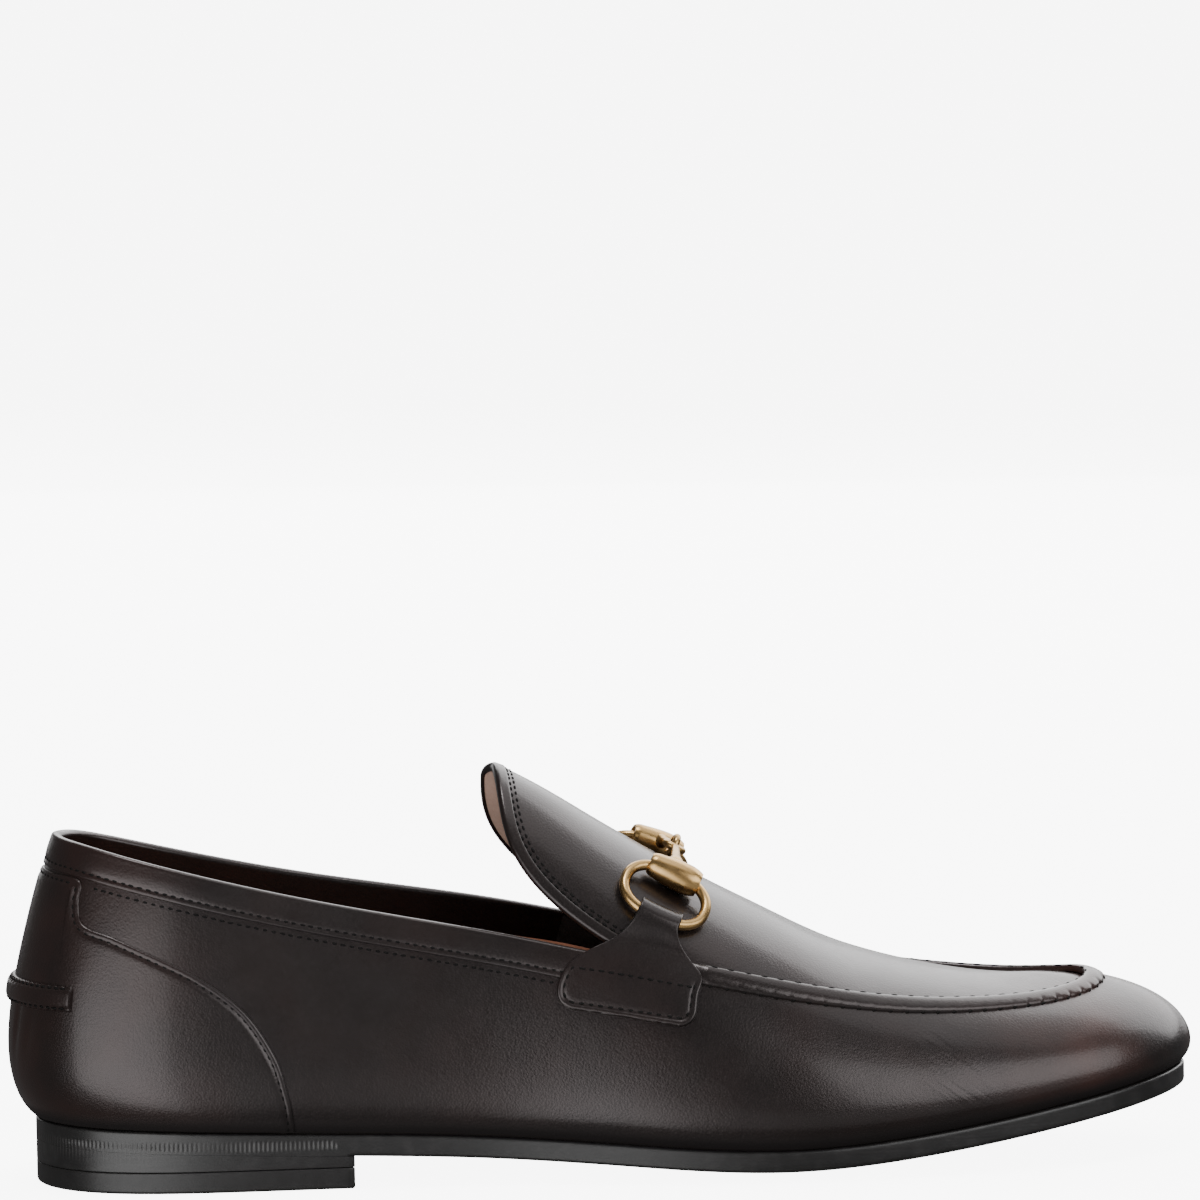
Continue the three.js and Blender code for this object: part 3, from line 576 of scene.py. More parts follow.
class Finish:
    """A procedural material: the Principled shader and what feeds it."""

    def __init__(self, name, **settings):
        self.material = bpy.data.materials.new(name)
        self.material.use_nodes = True
        self.tree = self.material.node_tree
        self.shader = self.tree.nodes["Principled BSDF"]
        for socket, value in settings.items():
            self.set(socket.replace("_", " ").title(), value)
        self.place = self.node("ShaderNodeTexCoord", {}, {}, "Object")

    def set(self, socket, value):
        """Sets or feeds one of the shader's own sockets."""
        wanted = self.shader.inputs[{"Specular": "Specular IOR Level"}.get(socket, socket)]
        if isinstance(value, Value):
            self.tree.links.new(value.socket, wanted)
        else:
            wanted.default_value = (*value, 1.0) if np.ndim(value) else value

    def node(self, kind, settings, inputs, output=0):
        """Adds a node: its settings first, a ramp's stops among them, then its sockets' values or links."""
        node = self.tree.nodes.new(kind)
        for name, value in settings.items():
            if name == "stops":
                for index, (position, colour) in enumerate(value):
                    stops = node.color_ramp.elements
                    stop = stops[index] if index < 2 else stops.new(position)
                    stop.position = position
                    stop.color = (*colour, 1.0)
            else:
                setattr(node, name, value)
        for socket, value in inputs.items():
            if isinstance(value, Value):
                self.tree.links.new(value.socket, node.inputs[socket])
            else:
                node.inputs[socket].default_value = value
        return Value(self, node.outputs[output])

    def noise(self, size, detail=2.0, where=None):
        """Cloudy noise with features of about that size."""
        inputs = {"Vector": where or self.place, "Scale": 1 / size, "Detail": detail}
        return self.node("ShaderNodeTexNoise", {}, inputs)

    def cells(self, size):
        """Distance within cells of about that size."""
        return self.node("ShaderNodeTexVoronoi", {}, {"Vector": self.place, "Scale": 1 / size})

    def stretched(self, *scale):
        """The place in the frame, scaled along the axes."""
        return self.node("ShaderNodeMapping", {}, {"Vector": self.place, "Scale": scale})

    def along(self, axis):
        """One coordinate of the place in the frame."""
        return self.node("ShaderNodeSeparateXYZ", {}, {"Vector": self.place}, axis)

    def rising(self, value, low, high):
        """From 0 at low to 1 at high, level at both ends."""
        inputs = {"Value": value, "From Min": low, "From Max": high}
        return self.node("ShaderNodeMapRange", {"interpolation_type": "SMOOTHSTEP"}, inputs)

    def blended(self, part, one, other):
        """One colour turning into another."""
        inputs = {0: part}
        for socket, colour in ((6, one), (7, other)):
            inputs[socket] = colour if isinstance(colour, Value) else (*colour, 1.0)
        return self.node("ShaderNodeMix", {"data_type": "RGBA"}, inputs, 2)

    def bumps(self, *layers):
        """Bump nodes in a chain, each from a height and its depth in metres, feeding the normal."""
        normal = None
        for height, depth in layers:
            inputs = {"Height": height, "Distance": depth, "Strength": 1.0}
            if normal:
                inputs["Normal"] = normal
            normal = self.node("ShaderNodeBump", {}, inputs)
        self.set("Normal", normal)


def flex_lines(finish):
    """Fine lines where the ball bends, running down toward the toe: noise drawn out along them, within a soft
    oval in the side view."""
    centre = last_point(FLEX_PLACE, FLEX_SHARE) + SHIFT
    turn = math.radians(38)
    x = finish.along("X") - float(centre[0])
    z = finish.along("Z") - float(centre[2])
    along = x * math.cos(turn) - z * math.sin(turn)
    across = x * math.sin(turn) + z * math.cos(turn)
    drawn = finish.node("ShaderNodeCombineXYZ", {}, {"X": across, "Y": along * 0.06})
    spot = finish.rising((along * (1 / (15 * MM))) ** 2 + (across * (1 / (9 * MM))) ** 2, 1.0, 0.0)
    return finish.noise(1.7 * MM, 1.0, drawn) * spot


def polished_leather(name, colour, burnish, roughness=0.31, grain=1.0):
    """Smooth box calf: a fine pebbled grain with pores, cloudy polish, brown showing through at the toe and the
    heel, painted shade (near black, duller and without coat) where the point attribute is 1, and fine flex lines
    at the ball."""
    finish = Finish(name, coat_roughness=0.17, specular_tint=(1.0, 0.88, 0.88))
    painted_shade = finish.node("ShaderNodeAttribute", {"attribute_name": "painted_shade_and_highlight"}, {}, 2)
    cloud = finish.noise(26 * MM, 3.0)
    toe = finish.rising(finish.along("X"), 78 * MM, 140 * MM)
    heel = 1 - finish.rising(finish.along("X"), -140 * MM, -96 * MM)
    shown = (toe + heel * 0.25 + cloud * 0.2) * finish.rising(cloud, 0.25, 0.75)
    leather = finish.blended(shown, colour, burnish)
    # Painted shade of the groove over the feather line, where the point attribute is 1: near black, duller and
    # without coat.
    finish.set("Base Color", finish.blended(painted_shade, leather, scaled(colour, 0.08)))
    patchy = finish.noise(7 * MM, 4.0) * 0.10 + finish.noise(0.5 * MM) * 0.10 - 0.09
    finish.set("Roughness", roughness + patchy + painted_shade * 0.5)
    finish.set("Coat Weight", 0.28 - painted_shade * 0.28)
    pebbles = finish.cells(0.62 * MM)
    pores = finish.rising(finish.cells(1.5 * MM), 0.0, 0.16)
    finish.bumps(
        (flex_lines(finish), 0.24 * MM),
        (finish.noise(9 * MM, 2.0), 0.08 * MM),
        (pebbles, 0.032 * MM * grain),
        (finish.noise(0.28 * MM, 2.0), 0.026 * MM * grain),
        (pores, 0.020 * MM * grain),
    )
    return finish.material


def plain_leather(name, colour, roughness, suede=1.0):
    """Lining leather: matt, softly mottled, with a short nap."""
    finish = Finish(name, sheen_weight=0.25)
    mottle = finish.noise(6 * MM, 4.0)
    finish.set("Base Color", finish.blended(mottle, scaled(colour, 0.62), colour))
    finish.set("Roughness", roughness + finish.noise(0.6 * MM) * 0.15)
    finish.bumps(
        (finish.noise(0.35 * MM, 3.0), 0.09 * MM * suede),
        (finish.cells(0.9 * MM), 0.05 * MM * suede),
    )
    return finish.material


def waxed_edge(name, colour):
    """Inked and waxed sole leather: fine level scratches, soft wear, and a painted highlight, paler and rougher,
    over the pressed ticks where the point attribute is 1."""
    finish = Finish(name, coat_weight=0.25, coat_roughness=0.3)
    ticks = finish.node("ShaderNodeAttribute", {"attribute_name": "painted_shade_and_highlight"}, {}, 2)
    layers = finish.noise(1.0, 4.0, finish.stretched(60, 60, 1600))
    wear = finish.noise(5 * MM, 4.0)
    shown = finish.blended(finish.rising(wear, 0.45, 0.75) * 0.5, colour, scaled(colour, 2.4))
    # Painted highlight: the pressed ticks turn paler where the point attribute is 1.
    finish.set("Base Color", finish.blended(ticks, shown, scaled(colour, 4.5)))
    finish.set("Roughness", 0.27 + layers * 0.12 + wear * 0.08 + ticks * 0.1)
    finish.bumps((layers, 0.05 * MM), (finish.noise(0.4 * MM, 3.0), 0.02 * MM))
    return finish.material


def hard_rubber(name, colour):
    """Moulded rubber: even and matt with a fine tooth."""
    finish = Finish(name)
    finish.set("Base Color", finish.blended(finish.noise(4 * MM, 4.0), colour, scaled(colour, 1.8)))
    finish.set("Roughness", 0.32 + finish.noise(2 * MM, 4.0) * 0.12)
    finish.bumps((finish.noise(0.3 * MM, 2.0), 0.025 * MM))
    return finish.material


def antique_brass(name, colour):
    """Cast brass, rubbed bright over a dark tarnish, with soft polishing marks."""
    finish = Finish(name, metallic=1.0)
    tarnish = finish.rising(finish.noise(4.5 * MM, 3.0), 0.42, 0.72)
    finish.set("Base Color", finish.blended(tarnish * 0.35, colour, scaled(colour, 0.55)))
    finish.set("Roughness", 0.25 + tarnish * 0.10 + finish.noise(0.4 * MM, 3.0) * 0.05)
    brushed = finish.noise(1.0, 3.0, finish.stretched(900, 3500, 3500))
    finish.bumps((finish.noise(2.6 * MM, 1.0), 0.012 * MM), (brushed, 0.004 * MM))
    return finish.material


def waxed_thread(name, colour):
    """Twisted waxed thread."""
    finish = Finish(name, specular=0.2)
    twist = finish.noise(0.25 * MM, 2.0)
    finish.set("Base Color", finish.blended(twist, colour, scaled(colour, 2.2)))
    finish.set("Roughness", 0.62 + twist * 0.2)
    finish.bumps((twist, 0.04 * MM))
    return finish.material


def finish_for(name):
    """One of the shoe's finishes, made when it is first asked for."""
    if name in bpy.data.materials:
        return bpy.data.materials[name]
    colours = bpy.context.scene.loafer_colours
    black = tuple(colours.leather)
    brown = tuple(colours.burnish)
    makers = {
        "polished_calf": lambda: polished_leather(name, black, brown),
        "rolled_calf": lambda: polished_leather(name, black, brown, grain=0.8),
        "tab_calf": lambda: polished_leather(name, black, brown, roughness=0.33, grain=0.8),
        "black_facing": lambda: plain_leather(name, scaled(black, 3.5), 0.55, suede=0.4),
        "tan_lining": lambda: plain_leather(name, tuple(colours.lining), 0.6),
        "quarter_lining": lambda: plain_leather(name, tuple(colours.quarter_lining), 0.6),
        "tongue_lining": lambda: plain_leather(name, tuple(colours.tongue_lining), 0.7, suede=1.4),
        "waxed_sole": lambda: waxed_edge(name, tuple(colours.sole)),
        "hard_rubber": lambda: hard_rubber(name, tuple(colours.rubber)),
        "antique_brass": lambda: antique_brass(name, tuple(colours.brass)),
        "waxed_thread": lambda: waxed_thread(name, tuple(colours.thread)),
    }
    return makers[name]()


# Upper

def crease_depth(point):
    """How far the creases press a point in: a bell across each crease and along it."""
    depth = np.zeros(point.shape[:-1])
    for crease in CREASES:
        centre = last_point(crease["place"], crease["share"])
        away = outward(np.array(crease["place"]), np.array(crease["share"]))
        level = unit(np.cross((0.0, 0.0, 1.0), away))
        level *= np.sign(level[0])
        up = np.cross(away, level) * np.sign(np.cross(away, level)[2])
        turn = math.radians(crease["turn"])
        along = level * math.cos(turn) + up * math.sin(turn)
        across = np.cross(away, along)
        offset = (point - centre) / MM
        bell = (dot(offset, along) / crease["length"]) ** 2 + (dot(offset, across) / crease["width"]) ** 2
        bell = bell + (dot(offset, away) / 12) ** 2
        depth += crease["depth"] * MM * np.exp(-bell)
    return depth


def upper_rows():
    """Shares of the wall's height, closest at the feather line."""
    foot = np.array((0, 0.003, 0.007, 0.012, 0.018, 0.025, 0.033, 0.042, 0.052))
    return np.concatenate((foot, np.linspace(0.063, 1, 96)))


def wall_top(place):
    """The share that the wall reaches: just under the collar's rim, and the seam line elsewhere."""
    edge = FORM["edge"](place)
    banded = 1 - smooth_step(from_heel(place), BAND_END - 0.25, BAND_END)
    return share_over(place, edge, -0.7 * MM * banded)


def feather_painted_shade(outer, place):
    """Painted shade of the groove at the feather line, fading out a few millimetres up, for the points of a shell."""
    height = outer[..., 2] - HEEL_LIFT * FORM["seat"](place)
    painted_shade = 1 - smooth_step(height, 1.4 * MM, 5.0 * MM)
    return np.concatenate((painted_shade, np.ones_like(painted_shade)), axis=1).ravel()


def make_wall(sizes):
    """Quarters and vamp: one leather wall right round, from the feather line to the collar and the apron."""
    place = even_places(0, LOOP, 0.9 * MM, lambda at: 0.2)[:-1]
    share = upper_rows() * wall_top(place)[:, None]
    dents = crease_depth(last_point(place[:, None], share))
    outer = lifted(place[:, None], share, -dents)
    inner = lifted(place[:, None], share, -sizes.leather)
    # The points carry painted shade of the groove over the feather line.
    add_piece("quarters_and_vamp", [shell(outer, inner, True)], finish_for("polished_calf"),
              ["upper"], painted_shade_and_highlight=feather_painted_shade(outer, place[:, None]))


def band_profile(sizes):
    """The collar band, from its stitched lower edge up the outside, round over the rim and down the inside. Each
    row is the distance below the rim and the lift of the outer face, then of the inner face."""
    step = sizes.band_step / MM
    wide = sizes.collar_band / MM
    wall = sizes.upper_wall / MM
    outside = (
        (wide, -0.05), (wide, 0.25), (wide - 0.08, 0.42), (wide - 0.25, 0.54), (wide - 0.5, 0.60),
        (wide - 0.9, 0.62), (wide - 1.3, 0.56), (wide - 1.6, 0.44), (wide - 1.9, 0.56), (wide - 2.3, 0.66),
        (wide - 3.0, step), (wide - 4.0, step + 0.05), (wide - 5.0, step + 0.05), (wide - 6.0, step), (1.5, step),
    )
    turn = np.radians(np.linspace(0, 180, 13))
    half = (wall + step + 0.3) / 2
    rim = np.stack((0.95 - 1.15 * np.sin(turn), step - half + half * np.cos(turn)), -1)
    inside = ((1.8, step - 2 * half), (3.0, -wall - 0.3), (6.0, -wall - 0.3), (10.0, -wall - 0.3),
              (13.0, -wall - 0.28), (15.5, -wall - 0.22), (16.0, -wall - 0.1))
    outer = np.array((*outside, *rim, *inside))
    under_rim = np.stack((1.1 - 0.5 * np.sin(turn), step - half + 0.5 * half * np.cos(turn)), -1)
    inner = np.array((*((down, -0.1) for down, _ in outside), *under_rim,
                      *((down, 0.1 - wall) for down, _ in inside)))
    return outer * MM, inner * MM


def make_collar_band(sizes):
    place = even_places(-BAND_END, BAND_END, 0.7 * MM, FORM["edge"])
    share = FORM["edge"](place)
    outer, inner = (strip(place, share, -1, profile) for profile in band_profile(sizes))
    add_piece("collar_band", [shell(outer, inner)], finish_for("polished_calf"))


# Apron and tongue

def tongue_place(reach, inner):
    """The tongue's edge, as a squared ellipse from its tip at reach 0 to its root at reach 1. Its inner side
    stands a little further back."""
    curl, lean = 7, 1.15
    tip = mix(TONGUE_TIP, INNER_TIP, smooth_step(reach, 0, 0.35) * inner)
    return mix(TONGUE_ROOT, tip, (1 - np.clip(reach, 0, 1) ** curl) ** (1 / lean))


def apron_places(mirrored, rows, column_step):
    """Places and shares over one half of the apron and tongue, from the seam line to the crest."""
    turn = (lambda at: LOOP - at) if mirrored else (lambda at: at)
    root_share = FORM["edge"](turn(np.array(TONGUE_ROOT)))
    curl = np.linspace(0, 1, 40)[:-1, None]
    tongue = mix(tongue_place(rows, mirrored)[None], TONGUE_ROOT, curl)
    tongue_share = np.broadcast_to(1 - rows * (1 - root_share), tongue.shape)
    main = even_places(TONGUE_ROOT, TOE, column_step, lambda at: 0.8)[:, None]
    main_share = 1 - rows * (1 - FORM["edge"](turn(main)))
    place = np.concatenate((tongue, np.broadcast_to(main, main_share.shape)))
    share = np.concatenate((tongue_share, main_share))
    return np.where(share < 1, turn(place), place), share


def apron_shells(rows, column_step, top, bottom):
    """Both halves of a sheet over the apron and tongue, between two lifts, sunk a little inside the rolled
    seam."""
    for mirrored in (False, True):
        place, share = apron_places(mirrored, rows, column_step)
        sunk = APRON_SINK * smooth_step(from_heel(place), 6.2, 7.0)
        yield lifted(place, share, top - sunk), lifted(place, share, bottom - sunk)


def sheet_of_halves(rows, column_step, top, bottom):
    """One closed sheet from the two halves, which meet at the crest and at the toe. Along the toe's middle its
    height follows a parabola, level there, through the third and the fifth column on either side."""
    halves = list(apron_shells(rows, column_step, top, bottom))
    for outside, other_side in zip(*halves):
        height = sum(4 * sheet[-3, :, 2] - sheet[-5, :, 2] for sheet in (outside, other_side)) / 6
        for sheet in (outside, other_side):
            sheet[-1, :, 2] = height
            sheet[-2, :, 2] = (3 * height + sheet[-3, :, 2]) / 4
    outer = np.concatenate((halves[0][0], halves[1][0][:, ::-1][:, 1:]), axis=1)
    inner = np.concatenate((halves[0][1], halves[1][1][:, ::-1][:, 1:]), axis=1)
    return shell(outer, inner)


def make_apron(sizes):
    """Apron and tongue, one smooth piece of leather, and its lining below."""
    rows = np.concatenate((1 - np.array((0, 0.006, 0.014, 0.026, 0.045, 0.07)), np.linspace(0.90, 0, 40)))
    add_piece("apron_and_tongue", [sheet_of_halves(rows, 1.5 * MM, 0.0, -sizes.leather)],
              finish_for("polished_calf"))
    lining = np.linspace(1, 0, 24)
    add_piece("tongue_lining",
              [sheet_of_halves(lining, 3 * MM, -sizes.leather - 0.05 * MM, -sizes.upper_wall)],
              finish_for("tongue_lining"))


def tongue_edge(spacing):
    """Places and shares along the tongue's edge, from its root on the outer side to its root on the inner."""
    halves = []
    for mirrored in (False, True):
        root = LOOP - TONGUE_ROOT if mirrored else TONGUE_ROOT
        reach = np.linspace(0.999, 0.0, 600)
        place = tongue_place(reach, mirrored)
        share = 1 - reach * (1 - FORM["edge"](np.array(float(root))))
        place = np.where(share < 1, LOOP - place, place) if mirrored else place
        halves.append(evenly(last_point(place, share), spacing, np.where(place > TOE, LOOP - place, place), share))
    place = np.concatenate((halves[0][0], LOOP - halves[1][0][::-1][1:]))
    share = np.concatenate((halves[0][1], halves[1][1][::-1][1:]))
    return place, share


def make_binding(sizes):
    """Binding folded over the tongue's edge."""
    place, share = tongue_edge(0.6 * MM)
    wide = sizes.binding / MM
    wall = sizes.upper_wall / MM
    turn = np.radians(np.linspace(0, 180, 11))
    half = (wall + 0.75) / 2
    outside = ((wide, -0.1), (wide, 0.2), (wide - 0.08, 0.36), (wide - 0.25, 0.44), (wide - 0.5, 0.48),
               (wide - 0.9, 0.47), (1.2, 0.42))
    rim = np.stack((0.5 - 1.0 * np.sin(turn), 0.42 - half + half * np.cos(turn)), -1)
    inside = ((0.15, 0.42 - 2 * half), (0.4, -wall - 0.31), (0.6, -wall - 0.26), (0.68, -wall - 0.1))
    outer = np.array((*outside, *rim, *inside)) * MM
    under = np.stack((0.55 - 0.5 * np.sin(turn), 0.42 - half + 0.5 * half * np.cos(turn)), -1)
    inner = np.array((*((down, -0.1) for down, _ in outside), *under,
                      *((down, 0.1 - wall) for down, _ in inside))) * MM
    add_piece("tongue_binding", [shell(strip(place, share, -1, outer), strip(place, share, -1, inner))],
              finish_for("rolled_calf"))


def roll_path(spacing):
    """The apron seam, from under one tab round the toe to under the other."""
    place = even_places(ROLL_START, LOOP - ROLL_START, spacing, FORM["edge"])
    return place, FORM["edge"](place)


def make_roll(sizes):
    """Rolled apron seam: crisp along its inner edge and pinched in by the stitches along its outer edge."""
    place, share = roll_path(0.4 * MM)
    length = arc_length(last_point(place, share))
    phase = length / sizes.roll_pitch
    pinch = np.exp(-((phase - np.round(phase)) * sizes.roll_pitch / (0.62 * MM)) ** 2)[:, None]
    rolled = smooth_step(from_heel(place), ROLL_START, ROLL_FULL)[:, None]
    half = sizes.apron_roll / 2
    section = np.array((
        (-1.02, -0.10), (-1.00, 0.10), (-0.95, 0.32), (-0.87, 0.50), (-0.76, 0.64), (-0.62, 0.76), (-0.45, 0.86),
        (-0.25, 0.93), (-0.05, 0.98), (0.15, 1.00), (0.35, 0.99), (0.52, 0.95), (0.66, 0.88), (0.78, 0.77),
        (0.87, 0.62), (0.93, 0.44), (0.97, 0.22), (0.98, 0.00), (0.98, -0.10),
    ))
    across = section[:, 0][None]
    outer_side = smooth_step(-across, 0.15, 1.0)
    gathered = mix(0.3, 1.0, smooth_step(from_heel(place), 7.6, 8.8))[:, None] * pinch * outer_side
    distance = half * (across + 0.14 * gathered)
    lift = sizes.apron_roll_height * section[:, 1][None] * (1 - 0.2 * gathered) * mix(0.1, 1, rolled)
    top = strip(place, share, 1, stacked(distance, lift))
    below = strip(place, share, 1, stacked(distance, -0.5 * MM))
    add_piece("apron_seam", [shell(top, below)], finish_for("rolled_calf"))


# Linings

def make_linings(sizes):
    """Tan lining inside the wall, and its edge standing above the rim beside the throat."""
    place = even_places(0, LOOP, 3 * MM, lambda at: 0.2)[:-1]
    share = np.linspace(0, 1, 30) * wall_top(place)[:, None]
    outer = lifted(place[:, None], share, -sizes.leather - 0.05 * MM)
    inner = lifted(place[:, None], share, -sizes.upper_wall)
    add_piece("quarter_lining", [shell(outer, inner, True)], finish_for("quarter_lining"))
    down = np.linspace(1, 0, 9)
    place = np.linspace(3.8, 4.8, 50)
    rise = (smooth_step(place, 3.8, 4.6) * 1.35 - 0.15) * MM
    wall = sizes.upper_wall
    throat = inside_strip(place, mix(-rise[:, None], 7 * MM, down), -wall - mix(0.75, 1.0, down) * MM)
    add_piece("throat_lining", [throat], finish_for("tan_lining"))
    sides = []
    for place in (np.linspace(4.66, 5.3, 30), LOOP - np.linspace(5.3, 4.66, 30)):
        sides.append(inside_strip(place, mix(0.8 * MM, 16 * MM, down) + 0 * place[:, None], -wall - 0.35 * MM))
    add_piece("throat_facing", sides, finish_for("black_facing"))


def inside_strip(place, distance, lift):
    """A thin sheet inside the upper, along the rim, from its distances below the rim and its lifts."""
    edge = FORM["edge"](place)
    face = strip(place, edge, -1, stacked(distance, lift))
    back = strip(place, edge, -1, stacked(distance, lift + 0.3 * MM))
    return shell(face, back)


# Sole and heel

def bed_height(x):
    """Height of the bed that the upper and the insole stand on, at a length from the heel back."""
    place = np.linspace(0, TOE, 2001)
    return np.interp(x, LAST_LENGTH * FORM["at"](place), HEEL_LIFT * FORM["seat"](place))


def level_outline(place, inset):
    """The feather line moved in, on the level."""
    away = outward(place, np.zeros_like(place))
    away[..., 2] = 0
    return foot_point(place) - unit(away) * inset


def ring_points(outline, middle, rings, height_at):
    """Rings from an outline, ring 1, to a middle line, ring 0, at the height given for each point."""
    flat = mix(middle[:, None], outline[:, None], np.asarray(rings)[None, :, None])
    flat[..., 2] = height_at(flat[..., 0], np.asarray(rings)[None])
    return flat


def middle_line(place):
    """The line down the middle of the foot that the sole's rings close on."""
    side = (FORM["side"](place) + FORM["side"](LOOP - place)) / 2
    return stacked(LAST_LENGTH * mix(0.1, 0.9, FORM["at"](place)), BALL_WIDTH * side, 0 * place)


def edge_rows(outline, bottom, top, profile):
    """Rows up an upright edge. Each profile row is an inset and a height, counted up from the bottom where it is
    positive and down from the top where it is negative."""
    away = unit(np.gradient(np.concatenate((outline[-1:], outline, outline[:1])), axis=0)[1:-1, (1, 0)]
                * (1, -1))
    rows = []
    for inset, height in profile:
        row = outline.copy()
        row[:, :2] -= away * np.broadcast_to(inset, len(outline))[:, None]
        row[:, 2] = np.where(np.broadcast_to(height, len(outline)) > 0, bottom + height, top + height)
        rows.append(row)
    return np.stack(rows, 1)


def tick_depth(length, height, low, high, pitch):
    """Upright ticks pressed into the heel's edge, fainter here and there, between two heights."""
    strength = 0.55 + 0.25 * np.sin(length / (9 * MM)) + 0.2 * np.sin(length / (3.7 * MM) + 1)
    pulse = np.clip(np.cos(2 * math.pi * length / pitch), 0, 1)
    window = smooth_step(height, low, low + 0.4 * MM) * (1 - smooth_step(height, high - 0.4 * MM, high))
    return TICK_DEPTH * strength * pulse * window


def heel_places(sizes, spacing):
    """Places round the heel, from the breast on the inner side to the breast on the outer."""
    along = np.linspace(0, TOE, 4001)
    breast = np.interp(sizes.heel_breast, LAST_LENGTH * FORM["at"](along), along)
    return even_places(-breast, breast, spacing, lambda at: 0)


def sole_places(sizes):
    """Places round the outsole, closer round the heel, where the ticks are."""
    heel = heel_places(sizes, 0.24 * MM)
    front = even_places(heel[-1], LOOP + heel[0], 1.2 * MM, lambda at: 0)
    return np.concatenate((heel, front[1:-1]))


def tick_band(x):
    """Lowest and highest end of the ticks at a length from the heel back; they close up short of the breast."""
    back = np.clip(x / (78 * MM), 0, 1)
    low = mix(9.7, 10.2, back) * MM
    return low, mix(mix(13.5, 12.4, back) * MM, low, smooth_step(x, 73 * MM, 75 * MM))


def make_outsole(sizes):
    """Leather outsole: level above, cambered below, pressed flat on the ground under the ball."""
    place = sole_places(sizes)
    outline = foot_point(place)
    middle = middle_line(place)
    camber = sizes.sole_camber * smooth_step(from_heel(place), CAMBER_FROM, CAMBER_FULL)[:, None]

    def underside(x, ring):
        return np.maximum(0, bed_height(x) - sizes.sole - camber * (1 - ring ** 2))

    bottom = np.maximum(0, outline[:, 2] - sizes.sole)
    top = outline[:, 2] - 0.05 * MM
    length = arc_length(outline)
    low, high = tick_band(outline[:, 0])
    free = smooth_step(outline[:, 0], sizes.heel_breast - 2 * MM, sizes.heel_breast)
    profile = [(inset * mix(0.02, 1, free) * MM, height * MM)
               for inset, height in ((0.75, 0.02), (0.42, 0.12), (0.16, 0.36), (0.04, 0.7))]
    for height in np.linspace(1.0, 4.4, 10) * MM:
        ticks = tick_depth(length, bottom + height, low, high, sizes.tick_pitch)
        profile.append((ticks, height))
    profile += [(0.03 * MM, -0.6 * MM), (0.13 * MM, -0.32 * MM), (0.36 * MM, -0.1 * MM), (0.7 * MM, -0.01 * MM)]
    side = edge_rows(outline, bottom, top, profile)
    rings = np.array((0.0, 0.2, 0.4, 0.6, 0.75, 0.87, 0.95))
    under = ring_points(side[:, 0], middle, rings, underside)
    upper = ring_points(side[:, -1], middle, rings[::-1], lambda x, ring: bed_height(x) - 0.05 * MM)
    rows = np.concatenate((under, side, upper), axis=1)
    ticks = tick_depth(length[:, None], rows[..., 2], low[:, None], high[:, None], sizes.tick_pitch)
    # The ticks' depth, from 0 to 1, is also the painted highlight that the finish lays over them.
    add_piece("leather_outsole", [(rows.reshape(-1, 3), grid_faces(*rows.shape[:2], close_rows=True))],
              finish_for("waxed_sole"), ["outsole"], sharp=50, painted_shade_and_highlight=(ticks / TICK_DEPTH).ravel())


def heel_outline(sizes, spacing):
    """Round the heel and back across its hollow breast, with the length along the heel's edge."""
    place = heel_places(sizes, spacing)
    edge = foot_point(place)
    along = smooth_step(np.minimum(arc_length(edge), arc_length(edge)[::-1]), 0, 1.5 * MM)
    edge = level_outline(place, 0.5 * MM * (1 - along[:, None]) ** 2)
    across = np.linspace(0, 1, 42)[1:-1, None]
    breast = mix(edge[-1], edge[0], across)
    breast[:, 0] -= sizes.breast_hollow * (1 - (2 * across[:, 0] - 1) ** 2)
    return np.concatenate((edge, breast)), np.concatenate((arc_length(foot_point(place)), -np.ones(len(breast))))


def heel_block(sizes, bottom_at, top_at, spacing, rounded, ticked):
    """A block with the heel's outline between two heights, its lower edge rounded, and its ticks from 0 to 1."""
    outline, length = heel_outline(sizes, spacing)
    bottom = bottom_at(outline[:, 0])
    top = top_at(outline[:, 0])
    low, high = tick_band(outline[:, 0])
    on_edge = length >= 0
    profile = [(rounded * (1 - math.sin(turn)), rounded * (1 - math.cos(turn)) + 0.001 * MM)
               for turn in np.radians((0, 22, 45, 67, 90))]
    tall = (top - bottom).min() - rounded - 0.5 * MM
    for part in np.linspace(0.08, 1, 18 if ticked else 5):
        height = rounded + tall * part
        ticks = tick_depth(length, bottom + height, low, high, sizes.tick_pitch) * on_edge * ticked
        profile.append((ticks, height))
    crisp = 0.02 if ticked else 1.0
    profile += [(0.02 * MM, -0.2 * MM), (0.10 * crisp * MM, -0.06 * MM), (0.22 * crisp * MM, -0.001 * MM)]
    side = edge_rows(outline, bottom, top, profile)
    centre = np.broadcast_to(outline.mean(0), outline.shape)
    rings = np.array((0.0, 0.5, 0.9))
    under = ring_points(side[:, 0], centre, rings, lambda x, ring: bottom_at(x))
    above = ring_points(side[:, -1], centre, rings[::-1], lambda x, ring: top_at(x))
    rows = np.concatenate((under, side, above), axis=1)
    ticks = tick_depth(length[:, None], rows[..., 2], low[:, None], high[:, None], sizes.tick_pitch)
    ticks *= on_edge[:, None] * ticked / TICK_DEPTH
    return (rows.reshape(-1, 3), grid_faces(*rows.shape[:2], close_rows=True)), ticks.ravel()


def make_heel(sizes):
    """Heel stack and top lift."""
    lift = sizes.top_lift
    stack, ticks = heel_block(sizes, lambda x: lift + 0.12 * MM + 0 * x,
                              lambda x: bed_height(x) - sizes.sole - 0.01 * MM, 0.24 * MM, 0.15 * MM, True)
    # The ticks' depth, from 0 to 1, is also the painted highlight that the finish lays over them.
    add_piece("leather_heel", [stack], finish_for("waxed_sole"), ["heel_stack"], sharp=50,
              painted_shade_and_highlight=ticks)
    base, _ = heel_block(sizes, lambda x: 0 * x, lambda x: lift + 0 * x, 0.9 * MM, 0.8 * MM, False)
    add_piece("rubber_lift", [base], finish_for("hard_rubber"), ["top_lift"], sharp=50)


